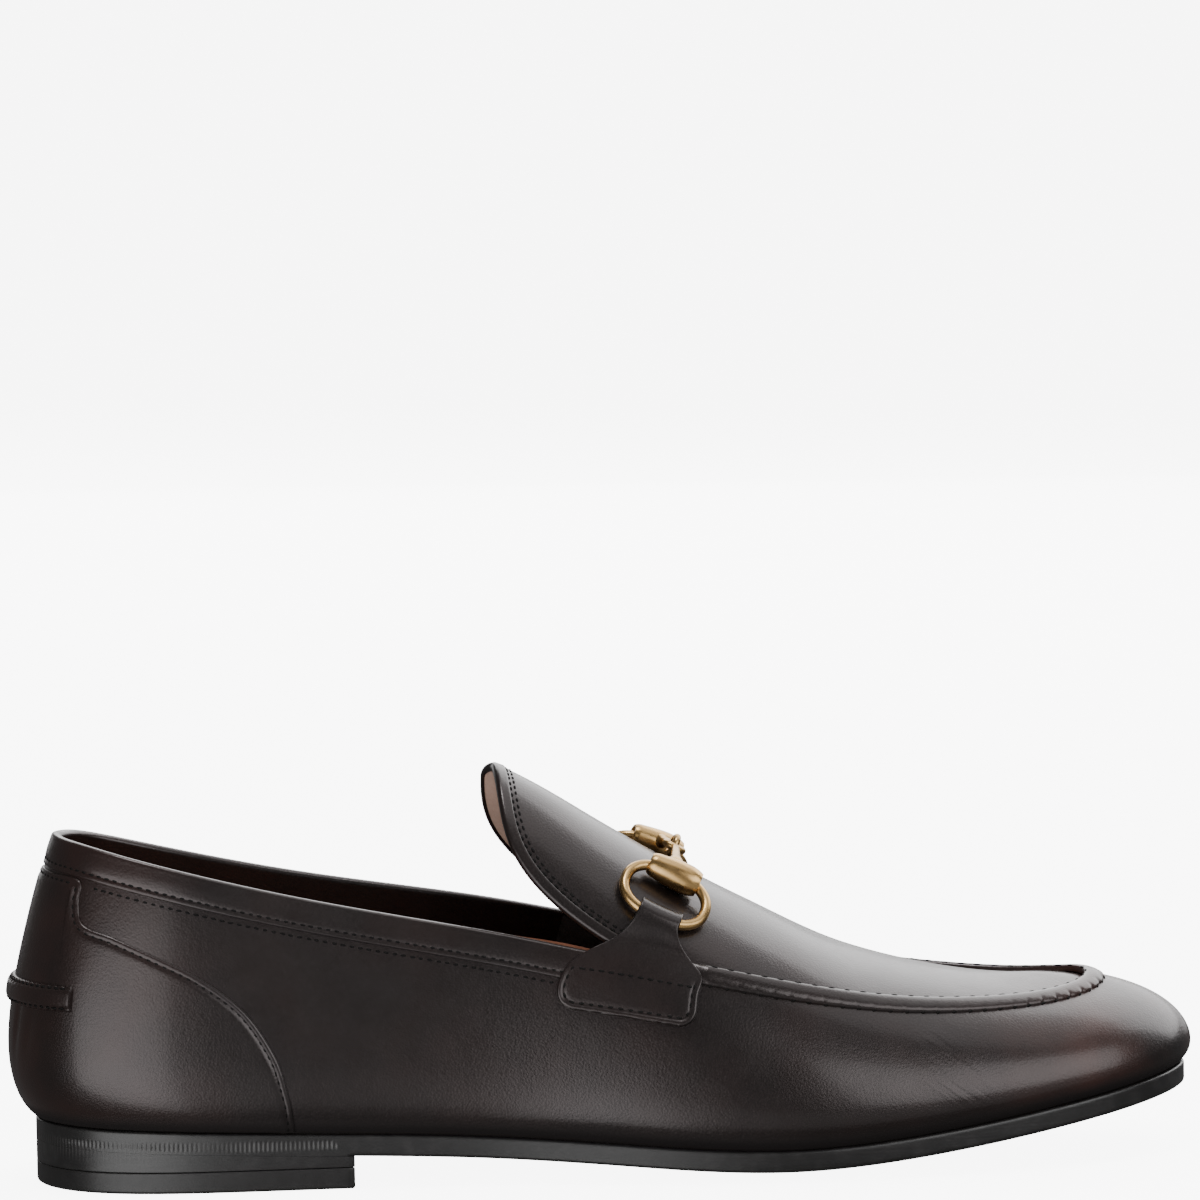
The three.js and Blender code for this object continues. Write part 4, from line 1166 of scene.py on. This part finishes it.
def make_insole(sizes):
    """Covered insole, rounded over at its edge and dished a little under the heel."""
    place = even_places(0, LOOP, 2.5 * MM, lambda at: 0)[:-1]
    outline = level_outline(place, (sizes.upper_wall + 0.3 * MM) * np.ones((len(place), 1)))
    outline[:, :2] += unit((outline - foot_point(place))[:, :2]) * TUCK_DEPTH
    middle = middle_line(place)
    rings = np.array((0.0, 0.15, 0.3, 0.45, 0.6, 0.72, 0.82, 0.9, 0.95, 0.98, 1.0))

    def top(x, ring):
        edge = smooth_step(ring, 0.86, 1.0)
        heel = 1 - smooth_step(x, 50 * MM, 95 * MM)
        return bed_height(x) + sizes.insole - 1.1 * MM * edge ** 2 - 0.6 * MM * heel * (1 - ring ** 2)

    under = ring_points(outline, middle, rings, lambda x, ring: bed_height(x) + 0.02 * MM)
    above = ring_points(outline, middle, rings[::-1], top)
    rows = np.concatenate((under, above), axis=1)
    add_piece("covered_insole", [(rows.reshape(-1, 3), grid_faces(*rows.shape[:2], close_rows=True))],
              finish_for("tan_lining"), ["insole"])


# Counter and back strap

def band_edge(place, below):
    """The share a distance below the collar band's lower edge."""
    sizes = bpy.context.scene.loafer_sizes
    return share_over(place, FORM["edge"](place), -(sizes.collar_band + below))


def counter_edge(count):
    """The counter's outline from its inner front end over the heel back to its outer front end: the place at the
    feather line, and the place and share of the outline."""
    half = COUNTER_OUTLINE.copy()
    on_band = half[:, 2] == 0
    half[on_band, 2] = band_edge(half[on_band, 1], 0.35 * MM)
    mirrored = half[:0:-1] * (-1, -1, 1)
    base, place, share = smooth_through(
        np.vstack((mirrored, half)), np.linspace(0, 2 * len(half) - 2, count)).T
    return evenly(last_point(place, share), 0.8 * MM, base, place, share)


def make_counter(sizes):
    """Heel counter, thinned toward its stitched edge."""
    base, place, share = counter_edge(1500)
    inset = np.array((0, 0.05, 0.14, 0.28, 0.5, 0.8, 1.15, 1.4, 1.65, 1.9, 2.3, 2.8, 3.4)) * MM
    rounded = np.sqrt(1 - (1 - np.clip(inset / (0.4 * MM), 0, 1)) ** 2)
    groove = 0.16 * MM * np.exp(-((inset - 1.6 * MM) / (0.34 * MM)) ** 2)
    lip = 0.10 * MM * np.exp(-((inset - 0.7 * MM) / (0.3 * MM)) ** 2)
    height = sizes.counter * mix(0.62, 1, smooth_step(inset, 0, 3.2 * MM)) * rounded - groove + lip
    path = last_point(place, share)
    down = -unit(np.cross(outward(place, share), np.gradient(path, axis=0)))
    at, up = slid(place[:, None], share[:, None], down[:, None] * inset[None, :, None])
    part = np.linspace(0, 1, 46)[:-1]
    body_place = mix(base[:, None], at[:, -1:], part)
    body_share = mix(0.003, up[:, -1:], part)
    at = np.concatenate((body_place, at[:, ::-1]), axis=1)
    up = np.concatenate((body_share, up[:, ::-1]), axis=1)
    lift = np.concatenate((np.full(len(part), sizes.counter), height[::-1]))[None]
    dents = crease_depth(last_point(at, up))
    outer = lifted(at, up, lift - dents)
    # The points carry painted shade of the groove over the feather line.
    add_piece("heel_counter_leather", [shell(outer, lifted(at, up, -0.05 * MM))], finish_for("polished_calf"),
              ["heel_counter"], painted_shade_and_highlight=feather_painted_shade(outer, at))


def make_back_strap(sizes):
    """Strap across the heel back: crowned, pinched along both edges by its stitches."""
    place = even_places(-BACK_STRAP_END, BACK_STRAP_END, 0.4 * MM, lambda at: BACK_STRAP_SHARE)
    share = np.full(len(place), BACK_STRAP_SHARE)
    length = arc_length(last_point(place, share))
    phase = length / sizes.stitch_pitch
    pinch = np.exp(-((phase - np.round(phase)) * sizes.stitch_pitch / (0.5 * MM)) ** 2)[:, None]
    across = np.sin(np.radians(np.linspace(-90, 90, 25)))[None]
    near_edge = smooth_step(np.abs(across), 0.45, 0.95)
    distance = sizes.strap_width / 2 * across * (1 - 0.08 * pinch * near_edge)
    crown = np.sqrt(np.clip(1 - np.abs(across) ** 3.2, 0, 1))
    seam = 0.30 * MM * np.exp(-((np.abs(across) - 0.74) / 0.09) ** 2)
    end = np.minimum(length, length[-1] - length)[:, None]
    ended = np.sqrt(1 - (1 - np.clip(end / (0.5 * MM), 0, 1)) ** 2)
    lift = sizes.counter + ended * (1.65 * MM * crown - seam - 0.45 * MM * pinch * near_edge * crown)
    top = strip(place, share, 1, stacked(distance, lift))
    below = strip(place, share, 1, stacked(distance, sizes.counter - 0.2 * MM))
    add_piece("back_strap_leather", [shell(top, below)], finish_for("rolled_calf"),
              ["back_strap"])


# Bit

def bit_frame(side, sizes):
    """Where a ring lies: the middle of its wire, along the ring, up the side of the vamp, and outward. The ring is
    turned about the outward direction, down at the front."""
    place = np.array(BIT_PLACE if side == "lateral" else LOOP - BIT_PLACE)
    share = np.array(BIT_SHARES[side])
    away = outward(place, share)
    level = unit(np.array((1.0, 0.0, 0.0)) - away * away[0])
    upward = along_share(place, share)
    upward = unit(upward - level * dot(upward, level))
    ahead = level * math.cos(BIT_TURN) - upward * math.sin(BIT_TURN)
    rising = upward * math.cos(BIT_TURN) + level * math.sin(BIT_TURN)
    leaned = unit(rising + away * sizes.ring_lean)
    face = unit(np.cross(ahead, leaned))
    if dot(face, away) < 0:
        face = -face
    return {"middle": last_point(place, share) + away * sizes.ring_height, "ahead": ahead, "rising": leaned,
            "outward": face}


def ring_point(frame_of_bit, angle, sizes):
    """The ring's middle line: a squared oval."""
    half_length = (sizes.ring_length - sizes.wire) / 2
    half_width = (sizes.ring_width - sizes.wire) / 2
    power = 2 / sizes.ring_squareness
    cosine, sine = np.cos(angle)[:, None], np.sin(angle)[:, None]
    return (frame_of_bit["middle"]
            + frame_of_bit["ahead"] * half_length * np.sign(cosine) * np.abs(cosine) ** power
            + frame_of_bit["rising"] * half_width * np.sign(sine) * np.abs(sine) ** power)


def even_ring(frame_of_bit, count, sizes):
    """The ring's middle line at even steps."""
    fine = ring_point(frame_of_bit, np.linspace(0, 2 * math.pi, 2001), sizes)
    length = arc_length(fine)
    at = np.linspace(0, length[-1], count + 1)[:-1]
    return np.stack([np.interp(at, length, fine[:, axis]) for axis in range(3)], -1)


def make_ring(side, sizes):
    place_of_bit = bit_frame(side, sizes)
    ring = tube(even_ring(place_of_bit, 96, sizes), place_of_bit["outward"], sizes.wire / 2, 20, closed=True)
    add_piece(f"brass_ring_{side}", [ring], finish_for("antique_brass"), [f"bit_ring_{side}"])


def barrel_profile(sizes):
    """Length along a barrel and its radius: fuller toward the toe, rounded over at its ends, and bored in at both
    ends for the ring's wire."""
    half = sizes.barrel_length / 2
    at = np.concatenate((1 - np.cos(np.radians(np.linspace(0, 90, 12))), (1.0,))) * 0.12
    at = np.concatenate((at[:-1], np.linspace(0.12, 0.72, 16)[1:-1],
                         0.72 + 0.28 * np.sin(np.radians(np.linspace(0, 90, 14)))))
    radius = mix(sizes.barrel_end, sizes.barrel, smooth_step(at, -0.15, 0.66)) / 2
    radius *= np.sqrt(1 - 0.30 * np.clip(1 - at / 0.12, 0, 1) ** 2)
    radius *= np.sqrt(1 - 0.40 * np.clip((at - 0.72) / 0.28, 0, 1) ** 2)
    outside = np.stack((half * (2 * at - 1), radius), -1)
    bore = sizes.wire / 2 + 0.35 * MM
    floor = half - 1.6 * MM
    heel_bore = ((-floor, 0.0), (-floor, bore * 0.9), (-half + 0.25 * MM, bore), (-half + 0.02 * MM, bore + 0.2 * MM))
    toe_bore = ((half - 0.02 * MM, bore + 0.2 * MM), (half - 0.25 * MM, bore), (floor, bore * 0.9), (floor, 0.0))
    return np.concatenate((heel_bore, outside, toe_bore))


def turned_bar(path, across, over, radius, sides):
    """A turned solid: a circle of each radius round each point, all in planes of the same two directions."""
    angle = np.arange(sides) * 2 * math.pi / sides
    rings = path[:, None] + radius[:, None, None] * (across * np.cos(angle)[:, None] + over * np.sin(angle)[:, None])
    return rings.reshape(-1, 3), grid_faces(len(rings), sides, False, True)


def make_link(side, sizes):
    """A barrel on the ring, an arm over the vamp, and an eye at the crest hooked through the other one."""
    lateral = side == "lateral"
    place_of_bit = bit_frame(side, sizes)
    half_width = (sizes.ring_width - sizes.wire) / 2
    middle = place_of_bit["middle"] + place_of_bit["rising"] * (half_width - 0.4 * MM)
    ahead = place_of_bit["ahead"]
    barrel = barrel_profile(sizes)
    path = middle + ahead * barrel[:, :1]
    barrel = turned_bar(path, place_of_bit["rising"], place_of_bit["outward"], barrel[:, 1], 40)
    place = np.array(EYE_PLACE)
    above = outward(place, np.array(1.0))
    sign = -1.0 if lateral else 1.0
    hooked = sizes.eye / 2 - sizes.eye_wire - 0.15 * MM
    eye_middle = crest_point(place) + above * (0.3 * MM + sizes.eye / 2) + np.array((0, sign * hooked, 0))
    sideways = np.array((0.0, sign, 0.0))
    level = unit(np.cross(sideways, above))
    turned_up, face = (level, above) if lateral else (above, level)
    eye_radius = (sizes.eye - sizes.eye_wire) / 2
    angle = np.linspace(0, 2 * math.pi, 49)[:-1, None]
    eye_path = eye_middle + eye_radius * (sideways * np.cos(angle) + turned_up * np.sin(angle))
    eye = tube(eye_path, face, sizes.eye_wire / 2, 14, closed=True)
    end = eye_middle + sideways * eye_radius
    bend = mix(middle, end, 0.5) + place_of_bit["outward"] * sizes.arm_arch
    t = np.linspace(0, 1, 26)[:, None]
    arm_path = (1 - t) ** 2 * middle + 2 * t * (1 - t) * bend + t ** 2 * end
    flare = 1 + 0.55 * np.exp(-((t[:, 0] - 0.30) / 0.16) ** 2)
    arm = tube(arm_path, ahead, mix(sizes.arm / 2, sizes.eye_wire / 2 * 1.08, t[:, 0]) * flare, 18)
    add_piece(f"brass_link_{side}", [barrel, arm, eye], finish_for("antique_brass"),
              [f"bit_link_{side}"])


# Strap tabs

def tab_place(across, up, lateral):
    """Place and share on a tab's stitched part. across runs from its back edge at 0 to its front edge at 1, and up
    counts the outline's rows."""
    back, back_share, front, front_share = np.moveaxis(smooth_through(TAB_OUTLINE, up), -1, 0)
    place = mix(back, front, across)
    return place if lateral else LOOP - place, mix(back_share, front_share, across)


def corner_narrowing(up, radius, lateral):
    """How far each row of a tab draws in at its rounded lower corners, as a share of its width."""
    low = last_point(*tab_place(np.array(0.5), np.array(0.0), lateral))
    row = last_point(*tab_place(np.full_like(up, 0.5), up, lateral))
    height = np.minimum(np.linalg.norm(row - low, axis=-1), radius)
    width = np.linalg.norm(last_point(*tab_place(np.ones_like(up), up, lateral))
                           - last_point(*tab_place(np.zeros_like(up), up, lateral)), axis=-1)
    return (radius - np.sqrt(radius ** 2 - (radius - height) ** 2)) / width


def tab_rows():
    """Rows up the stitched part, closest at the lower edge."""
    corner = 1 - np.cos(np.radians(np.linspace(0, 90, 14)))
    return np.concatenate((corner * 1.5, np.linspace(1.5, len(TAB_OUTLINE) - 1, 40)[1:]))


def edge_distance(points):
    """Distance of each point of a grid to the grid's two long sides and its first row."""
    rim = np.concatenate((points[:, 0], points[:, -1], points[0]))
    flat = points.reshape(-1, 3)
    nearest = np.linalg.norm(flat[:, None] - rim[None], axis=-1).min(1)
    return nearest.reshape(points.shape[:2])


def make_tab(side, sizes):
    """A strap tab: stitched to the side of the vamp below, its neck folded over the ring's lower bar."""
    lateral = side == "lateral"
    place_of_bit = bit_frame(side, sizes)
    turn = np.linspace(0, 1, 56)
    across = mix(turn, (1 - np.cos(math.pi * turn)) / 2, 0.75)
    up = tab_rows()[:, None]
    corner = corner_narrowing(tab_rows(), 4.2 * MM, lateral)[:, None]
    place, share = tab_place(mix(corner, 1 - corner, across), up + 0 * across, lateral)
    under = lifted(place, share, 0.02 * MM)
    over = lifted(place, share, sizes.tab)

    half_width = (sizes.ring_width - sizes.wire) / 2
    half_length = (sizes.ring_length - sizes.wire) / 2
    aside = (across - 0.5) * sizes.tab_neck + 0.6 * MM
    squareness = sizes.ring_squareness
    bar = half_width * (1 - np.abs(0.75 * aside / half_length) ** squareness) ** (1 / squareness)
    bar_middle = (place_of_bit["middle"] + place_of_bit["ahead"] * aside[:, None]
                  - place_of_bit["rising"] * bar[:, None])
    sweep = np.radians(np.concatenate((np.linspace(114, 20, 18), np.linspace(10, -75, 9))))[:, None, None]
    direction = place_of_bit["rising"] * np.cos(sweep) * 1.3 + place_of_bit["outward"] * np.sin(sweep)
    inner_radius = sizes.wire / 2 + 0.12 * MM
    fold_under = bar_middle + direction * inner_radius
    fold_over = bar_middle + direction * (inner_radius + sizes.tab)
    start_along = unit(over[-1] - over[-3])
    fold_along = place_of_bit["rising"] * math.sin(sweep[0, 0, 0]) - place_of_bit["outward"] * math.cos(
        sweep[0, 0, 0])
    t = np.linspace(0, 1, 16)[1:-1, None, None]
    necks = []
    for sheet, fold in ((under, fold_under), (over, fold_over)):
        reach = np.linalg.norm(fold[0] - sheet[-1], axis=-1, keepdims=True) * 0.36
        one = sheet[-1] + start_along * reach
        other = fold[0] - fold_along * reach
        neck = ((1 - t) ** 3 * sheet[-1] + 3 * t * (1 - t) ** 2 * one + 3 * t ** 2 * (1 - t) * other
                + t ** 3 * fold[0])
        necks.append(np.concatenate((sheet, neck, fold)))
    below, above = necks
    distance = edge_distance(above)
    rounded = np.sqrt(1 - (1 - np.clip(distance / (0.45 * MM), 0, 1)) ** 2)
    stitched = 1 - smooth_step(np.arange(len(above)), len(up) - 30, len(up) - 18)[:, None]
    groove = 0.16 * np.exp(-((distance - 1.7 * MM) / (0.36 * MM)) ** 2) * stitched
    lip = 0.10 * np.exp(-((distance - 0.75 * MM) / (0.35 * MM)) ** 2) * stitched
    part = 0.45 + 0.55 * rounded - groove + lip
    above = below + (above - below) * part[..., None]
    add_piece(f"bit_tab_{side}", [shell(above, below)], finish_for("tab_calf"),
              [f"strap_tab_{side}"])


# Stitches

def stitch_row(path, normal, sizes, pitch=None, length=0.72, width=1.0, turn=0.0, sunk=0.25):
    """Stitches along a path, nearly evenly spaced: slim beads, rounded at their ends and sunk a little."""
    pitch = pitch or sizes.stitch_pitch
    reached = arc_length(path)
    count = max(1, round(reached[-1] / pitch))
    chance = np.random.default_rng(count)
    at = (np.arange(count) + 0.5 + chance.normal(0, 0.035, count)) * reached[-1] / count
    carried = np.concatenate((path, normal), axis=1)
    point, away = np.split(np.stack([np.interp(at, reached, column) for column in carried.T], -1), 2, axis=1)
    ends = [np.stack([np.interp(at + step, reached, column) for column in path.T], -1)
            for step in (-0.3 * pitch, 0.3 * pitch)]
    away = unit(away)
    ahead = unit(ends[1] - ends[0])
    across = np.cross(away, ahead)
    angle = np.radians(turn + chance.normal(0, 4.0, count))[:, None]
    ahead, across = (ahead * np.cos(angle) + across * np.sin(angle), across * np.cos(angle) - ahead * np.sin(angle))
    stations = np.array((-0.5, -0.42, -0.22, 0.0, 0.22, 0.42, 0.5))
    thickness = np.array((0.3, 0.72, 0.96, 1.0, 0.96, 0.72, 0.3)) * width * sizes.thread / 2
    drop = np.array((0.9, 0.35, 0.08, 0.0, 0.08, 0.35, 0.9)) * sizes.thread / 2
    turns = np.arange(6) * math.pi / 3
    lengths = length * pitch * (1 + chance.normal(0, 0.08, count))
    middle = (point[:, None] + ahead[:, None] * (stations * lengths[:, None])[..., None]
              - away[:, None] * (drop + sunk * sizes.thread)[None, :, None])
    ring = middle[:, :, None] + thickness[None, :, None, None] * (
        across[:, None, None] * np.cos(turns)[:, None] + away[:, None, None] * np.sin(turns)[:, None])
    one = grid_faces(len(stations), 6, False, True)
    size = len(stations) * 6
    faces = (one[None] + np.arange(count)[:, None, None] * size).reshape(-1, 4)
    first = np.arange(count)[:, None] * size
    caps = np.concatenate((first + np.arange(6)[::-1], first + size - 6 + np.arange(6)))
    return ring.reshape(-1, 3), faces, caps


def add_stitches(name, rows):
    """One mesh from stitch rows."""
    parts = []
    for points, faces, caps in rows:
        parts.append((points, faces))
        parts.append((np.zeros((0, 3)), caps - len(points)))
    add_piece(name, parts, finish_for("waxed_thread"), sharp=80)


def line_of(place, share, side, distance, lift):
    """A path beside a line on the last, and the directions off the last along it."""
    line = strip(place, share, side, np.array(((distance, lift),)))[:, 0]
    raised = strip(place, share, side, np.array(((distance, lift + 1 * MM),)))[:, 0]
    return line, unit(raised - line)


def make_stitches(sizes):
    """Every row of stitches, each group in its own mesh."""
    place = even_places(-BAND_END, BAND_END, 1 * MM, FORM["edge"])
    share = FORM["edge"](place)
    band = sizes.collar_band
    rows = [stitch_row(*line_of(place, share, -1, band - 1.6 * MM, 0.52 * MM), sizes)]
    for start, finish in ((1.22, BAND_END), (-BAND_END, -1.22)):
        keep = (place >= start) & (place <= finish)
        rows.append(stitch_row(*line_of(place[keep], share[keep], -1, band + 1.5 * MM, 0.06 * MM), sizes))
    keep = np.abs(place) < 0.98
    rows.append(stitch_row(*line_of(place[keep], share[keep], -1, band + 1.9 * MM, 0.7 * MM), sizes))
    add_stitches("collar_stitches", rows)

    _, place, share = counter_edge(1500)
    keep = np.abs(place) > 1.03
    rows = []
    for near in (keep & (place > 0), keep & (place < 0)):
        line = line_of(place[near], share[near], -1, 1.6 * MM, sizes.counter * 0.74 - 0.08 * MM)
        rows.append(stitch_row(*line, sizes))
    add_stitches("counter_stitches", rows)

    place = even_places(-BACK_STRAP_END, BACK_STRAP_END, 0.5 * MM, lambda at: BACK_STRAP_SHARE)[3:-3]
    share = np.full(len(place), BACK_STRAP_SHARE)
    rows = [stitch_row(*line_of(place, share, 1, aside * sizes.strap_width * 0.37, sizes.counter + 1.1 * MM), sizes)
            for aside in (-1, 1)]
    add_stitches("back_strap_stitches", rows)

    place, share = roll_path(1 * MM)
    keep = from_heel(place) > ROLL_START + 0.1
    place, share = place[keep], share[keep]
    half = sizes.apron_roll / 2
    shoulder = line_of(place, share, 1, 0.80 * half, 0.80 * sizes.apron_roll_height)
    inner = stitch_row(*shoulder, sizes, sizes.roll_pitch, 0.52, 0.8)
    outer = stitch_row(*line_of(place, share, 1, -half + 0.25 * MM, 0.3 * MM), sizes, sizes.roll_pitch, 0.42, 1.0,
                       turn=24)
    add_stitches("apron_stitches", [inner, outer])

    place, share = tongue_edge(1 * MM)
    rows = [stitch_row(*line_of(place[2:-2], share[2:-2], -1, sizes.binding + gap, lift), sizes)
            for gap, lift in ((0.42 * MM, 0.14 * MM), (1.55 * MM, 0.12 * MM))]
    add_stitches("tongue_stitches", rows)

    rows = []
    for lateral in (True, False):
        line, away = tab_stitch_line(lateral, sizes)
        rows.append(stitch_row(line, away, sizes, 2.45 * MM))
    add_stitches("tab_stitches", rows)


def tab_stitch_line(lateral, sizes):
    """The stitch line round a tab's patch: down its front, along its lower edge, up its back and across."""
    inset, low, high = 1.8 * MM, 0.0, 2.65
    up = np.linspace(low, high, 60)
    width = np.linalg.norm(last_point(*tab_place(np.ones_like(up), up, lateral))
                           - last_point(*tab_place(np.zeros_like(up), up, lateral)), axis=-1)
    tall = np.linalg.norm(last_point(*tab_place(np.full_like(up, 0.5), up, lateral))
                          - last_point(*tab_place(np.array(0.5), np.array(0.0), lateral)), axis=-1)
    keep = tall > inset
    up, width, tall = up[keep], width[keep], tall[keep]
    radius = 3.0 * MM
    corner = radius - np.sqrt(radius ** 2 - (radius - np.minimum(tall - inset, radius)) ** 2)
    left = (inset + corner) / width
    right = 1 - left
    bottom = np.linspace(right[0], left[0], 40)[1:-1]
    top = np.linspace(left[-1], right[-1], 40)[1:]
    across = np.concatenate((right[::-1], bottom, left, top))
    level = np.concatenate((up[::-1], np.full(len(bottom), up[0]), up, mix(high, high - 0.35, top - top[0])))
    place, share = tab_place(across, level, lateral)
    lift = sizes.tab * np.where(np.arange(len(across)) < len(across) - len(top), 0.94, 1.06)
    line = lifted(place, share, lift)
    return line, unit(lifted(place, share, lift + 1 * MM) - line)


# Stage

def studio_light(name, place, target, size, power):
    """A soft box that faces a point."""
    data = bpy.data.lights.new(name, "AREA")
    data.shape = "RECTANGLE"
    data.size, data.size_y = size
    data.energy = power
    lamp = bpy.data.objects.new(name, data)
    lamp.location = place
    lamp.rotation_euler = (Vector(target) - Vector(place)).to_track_quat("-Z", "Y").to_euler()
    lamp.visible_camera = False
    bpy.context.scene.collection.objects.link(lamp)


def make_floor():
    """A pale floor, wide enough to fill the picture."""
    half = 24.0
    mesh = bpy.data.meshes.new("floor")
    corners = [(-half, -half, 0), (half, -half, 0), (half, half, 0), (-half, half, 0)]
    mesh.from_pydata(corners, [], [(0, 1, 2, 3)])
    finish = Finish("studio_floor", emission_strength=FLOOR_GLOW)
    colour = tuple(bpy.context.scene.loafer_colours.floor)
    finish.set("Base Color", finish.blended(finish.noise(0.4, 2.0) * 0.2, colour, scaled(colour, 0.98)))
    finish.set("Emission Color", colour)
    finish.set("Roughness", 0.85)
    mesh.materials.append(finish.material)
    floor = bpy.data.objects.new("floor", mesh)
    floor.visible_glossy = False
    floor.visible_diffuse = False
    floor.visible_shadow = False
    bpy.context.scene.collection.objects.link(floor)


def make_camera():
    """The photograph's view of the shoe: its turn, rise and roll, its distance, and the point at its middle."""
    azimuth, elevation, roll = (math.radians(angle) for angle in (-6.0, 8.2, 1.0))
    anchor = np.array((145, 0, 45)) * MM + SHIFT
    anchor_right = 3 * PIXEL
    anchor_down = 385 * PIXEL
    back = np.array((math.sin(azimuth) * math.cos(elevation), -math.cos(azimuth) * math.cos(elevation),
                     math.sin(elevation)))
    level = np.array((math.cos(azimuth), math.sin(azimuth), 0.0))
    upright = np.cross(back, level)
    right = math.cos(roll) * level - math.sin(roll) * upright
    up = math.sin(roll) * level + math.cos(roll) * upright
    place = anchor + back * CAMERA_DISTANCE
    aim = anchor - right * anchor_right + up * anchor_down
    back = unit(place - aim)
    right = unit(np.cross(up, back))
    up = np.cross(back, right)
    data = bpy.data.cameras.new("camera")
    data.sensor_width = 36
    data.lens = 36 * CAMERA_DISTANCE / (PICTURE_WIDTH * PIXEL)
    data.clip_end = 90
    camera = bpy.data.objects.new("camera", data)
    camera.matrix_world = Matrix([[*map(float, row), 0.0] for row in np.stack((right, up, back), 1)]
                                 + [[0, 0, 0, 1]])
    camera.location = Vector(place)
    bpy.context.scene.collection.objects.link(camera)
    bpy.context.scene.camera = camera


def make_lights():
    """The soft boxes and a dim surround."""
    world = bpy.data.worlds.new("studio")
    world.use_nodes = True
    world.node_tree.nodes["Background"].inputs["Color"].default_value = (1.0, 1.0, 1.0, 1.0)
    world.node_tree.nodes["Background"].inputs["Strength"].default_value = SURROUND_GLOW
    bpy.context.scene.world = world
    for light in LIGHTS:
        studio_light(**light)


# Operators

class LoaferStep(bpy.types.Operator):
    """Shared parts of the loafer's operators"""

    bl_options = {"REGISTER", "UNDO"}

    def execute(self, context):
        self.build(context.scene.loafer_sizes)
        return {"FINISHED"}


class LOAFER_OT_upper(LoaferStep):
    """Quarters, vamp and collar band"""

    bl_idname = "loafer.upper"
    bl_label = "Quarters and collar"

    def build(self, sizes):
        make_wall(sizes)
        make_collar_band(sizes)


class LOAFER_OT_apron(LoaferStep):
    """Apron, tongue, binding and rolled seam"""

    bl_idname = "loafer.apron"
    bl_label = "Apron and tongue"

    def build(self, sizes):
        make_apron(sizes)
        make_binding(sizes)
        make_roll(sizes)


class LOAFER_OT_linings(LoaferStep):
    """Linings and insole"""

    bl_idname = "loafer.linings"
    bl_label = "Linings and insole"

    def build(self, sizes):
        make_linings(sizes)
        make_insole(sizes)


class LOAFER_OT_heel_leather(LoaferStep):
    """Heel counter and back strap"""

    bl_idname = "loafer.heel_leather"
    bl_label = "Counter and back strap"

    def build(self, sizes):
        make_counter(sizes)
        make_back_strap(sizes)


class LOAFER_OT_tabs(LoaferStep):
    """Strap tabs that hold the bit"""

    bl_idname = "loafer.tabs"
    bl_label = "Strap tabs"

    def build(self, sizes):
        for side in ("lateral", "medial"):
            make_tab(side, sizes)


class LOAFER_OT_bit(LoaferStep):
    """Brass rings and links"""

    bl_idname = "loafer.bit"
    bl_label = "Bit"

    def build(self, sizes):
        for side in ("lateral", "medial"):
            make_ring(side, sizes)
            make_link(side, sizes)


class LOAFER_OT_sole(LoaferStep):
    """Outsole, heel and top lift"""

    bl_idname = "loafer.sole"
    bl_label = "Sole and heel"

    def build(self, sizes):
        make_outsole(sizes)
        make_heel(sizes)


class LOAFER_OT_stitches(LoaferStep):
    """Every row of stitches"""

    bl_idname = "loafer.stitches"
    bl_label = "Stitches"

    def build(self, sizes):
        make_stitches(sizes)


class LOAFER_OT_stage(LoaferStep):
    """Floor, lights and camera"""

    bl_idname = "loafer.stage"
    bl_label = "Stage"

    def build(self, sizes):
        make_floor()
        make_lights()
        make_camera()


STEPS = (
    LOAFER_OT_stage, LOAFER_OT_upper, LOAFER_OT_apron, LOAFER_OT_linings, LOAFER_OT_heel_leather, LOAFER_OT_sole,
    LOAFER_OT_bit, LOAFER_OT_tabs, LOAFER_OT_stitches,
)


class LOAFER_PT_panel(bpy.types.Panel):
    """The loafer's steps, sizes and colours"""

    bl_idname = "LOAFER_PT_panel"
    bl_label = "Bit loafer"
    bl_space_type = "VIEW_3D"
    bl_region_type = "UI"
    bl_category = "Loafer"

    def draw(self, context):
        for step in STEPS:
            self.layout.operator(step.bl_idname)
        for group in (context.scene.loafer_sizes, context.scene.loafer_colours):
            box = self.layout.box()
            for name in group.bl_rna.properties.keys():
                if name not in ("rna_type", "name"):
                    box.prop(group, name)


CLASSES = (LoaferSizes, LoaferColours, *STEPS, LOAFER_PT_panel)


def register():
    for item in CLASSES:
        bpy.utils.register_class(item)
    bpy.types.Scene.loafer_sizes = PointerProperty(type=LoaferSizes)
    bpy.types.Scene.loafer_colours = PointerProperty(type=LoaferColours)


def unregister():
    del bpy.types.Scene.loafer_colours
    del bpy.types.Scene.loafer_sizes
    for item in reversed(CLASSES):
        bpy.utils.unregister_class(item)


def main():
    register()
    for step in STEPS:
        group, name = step.bl_idname.split(".")
        getattr(getattr(bpy.ops, group), name)()
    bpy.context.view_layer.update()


if __name__ == "__main__":
    main()
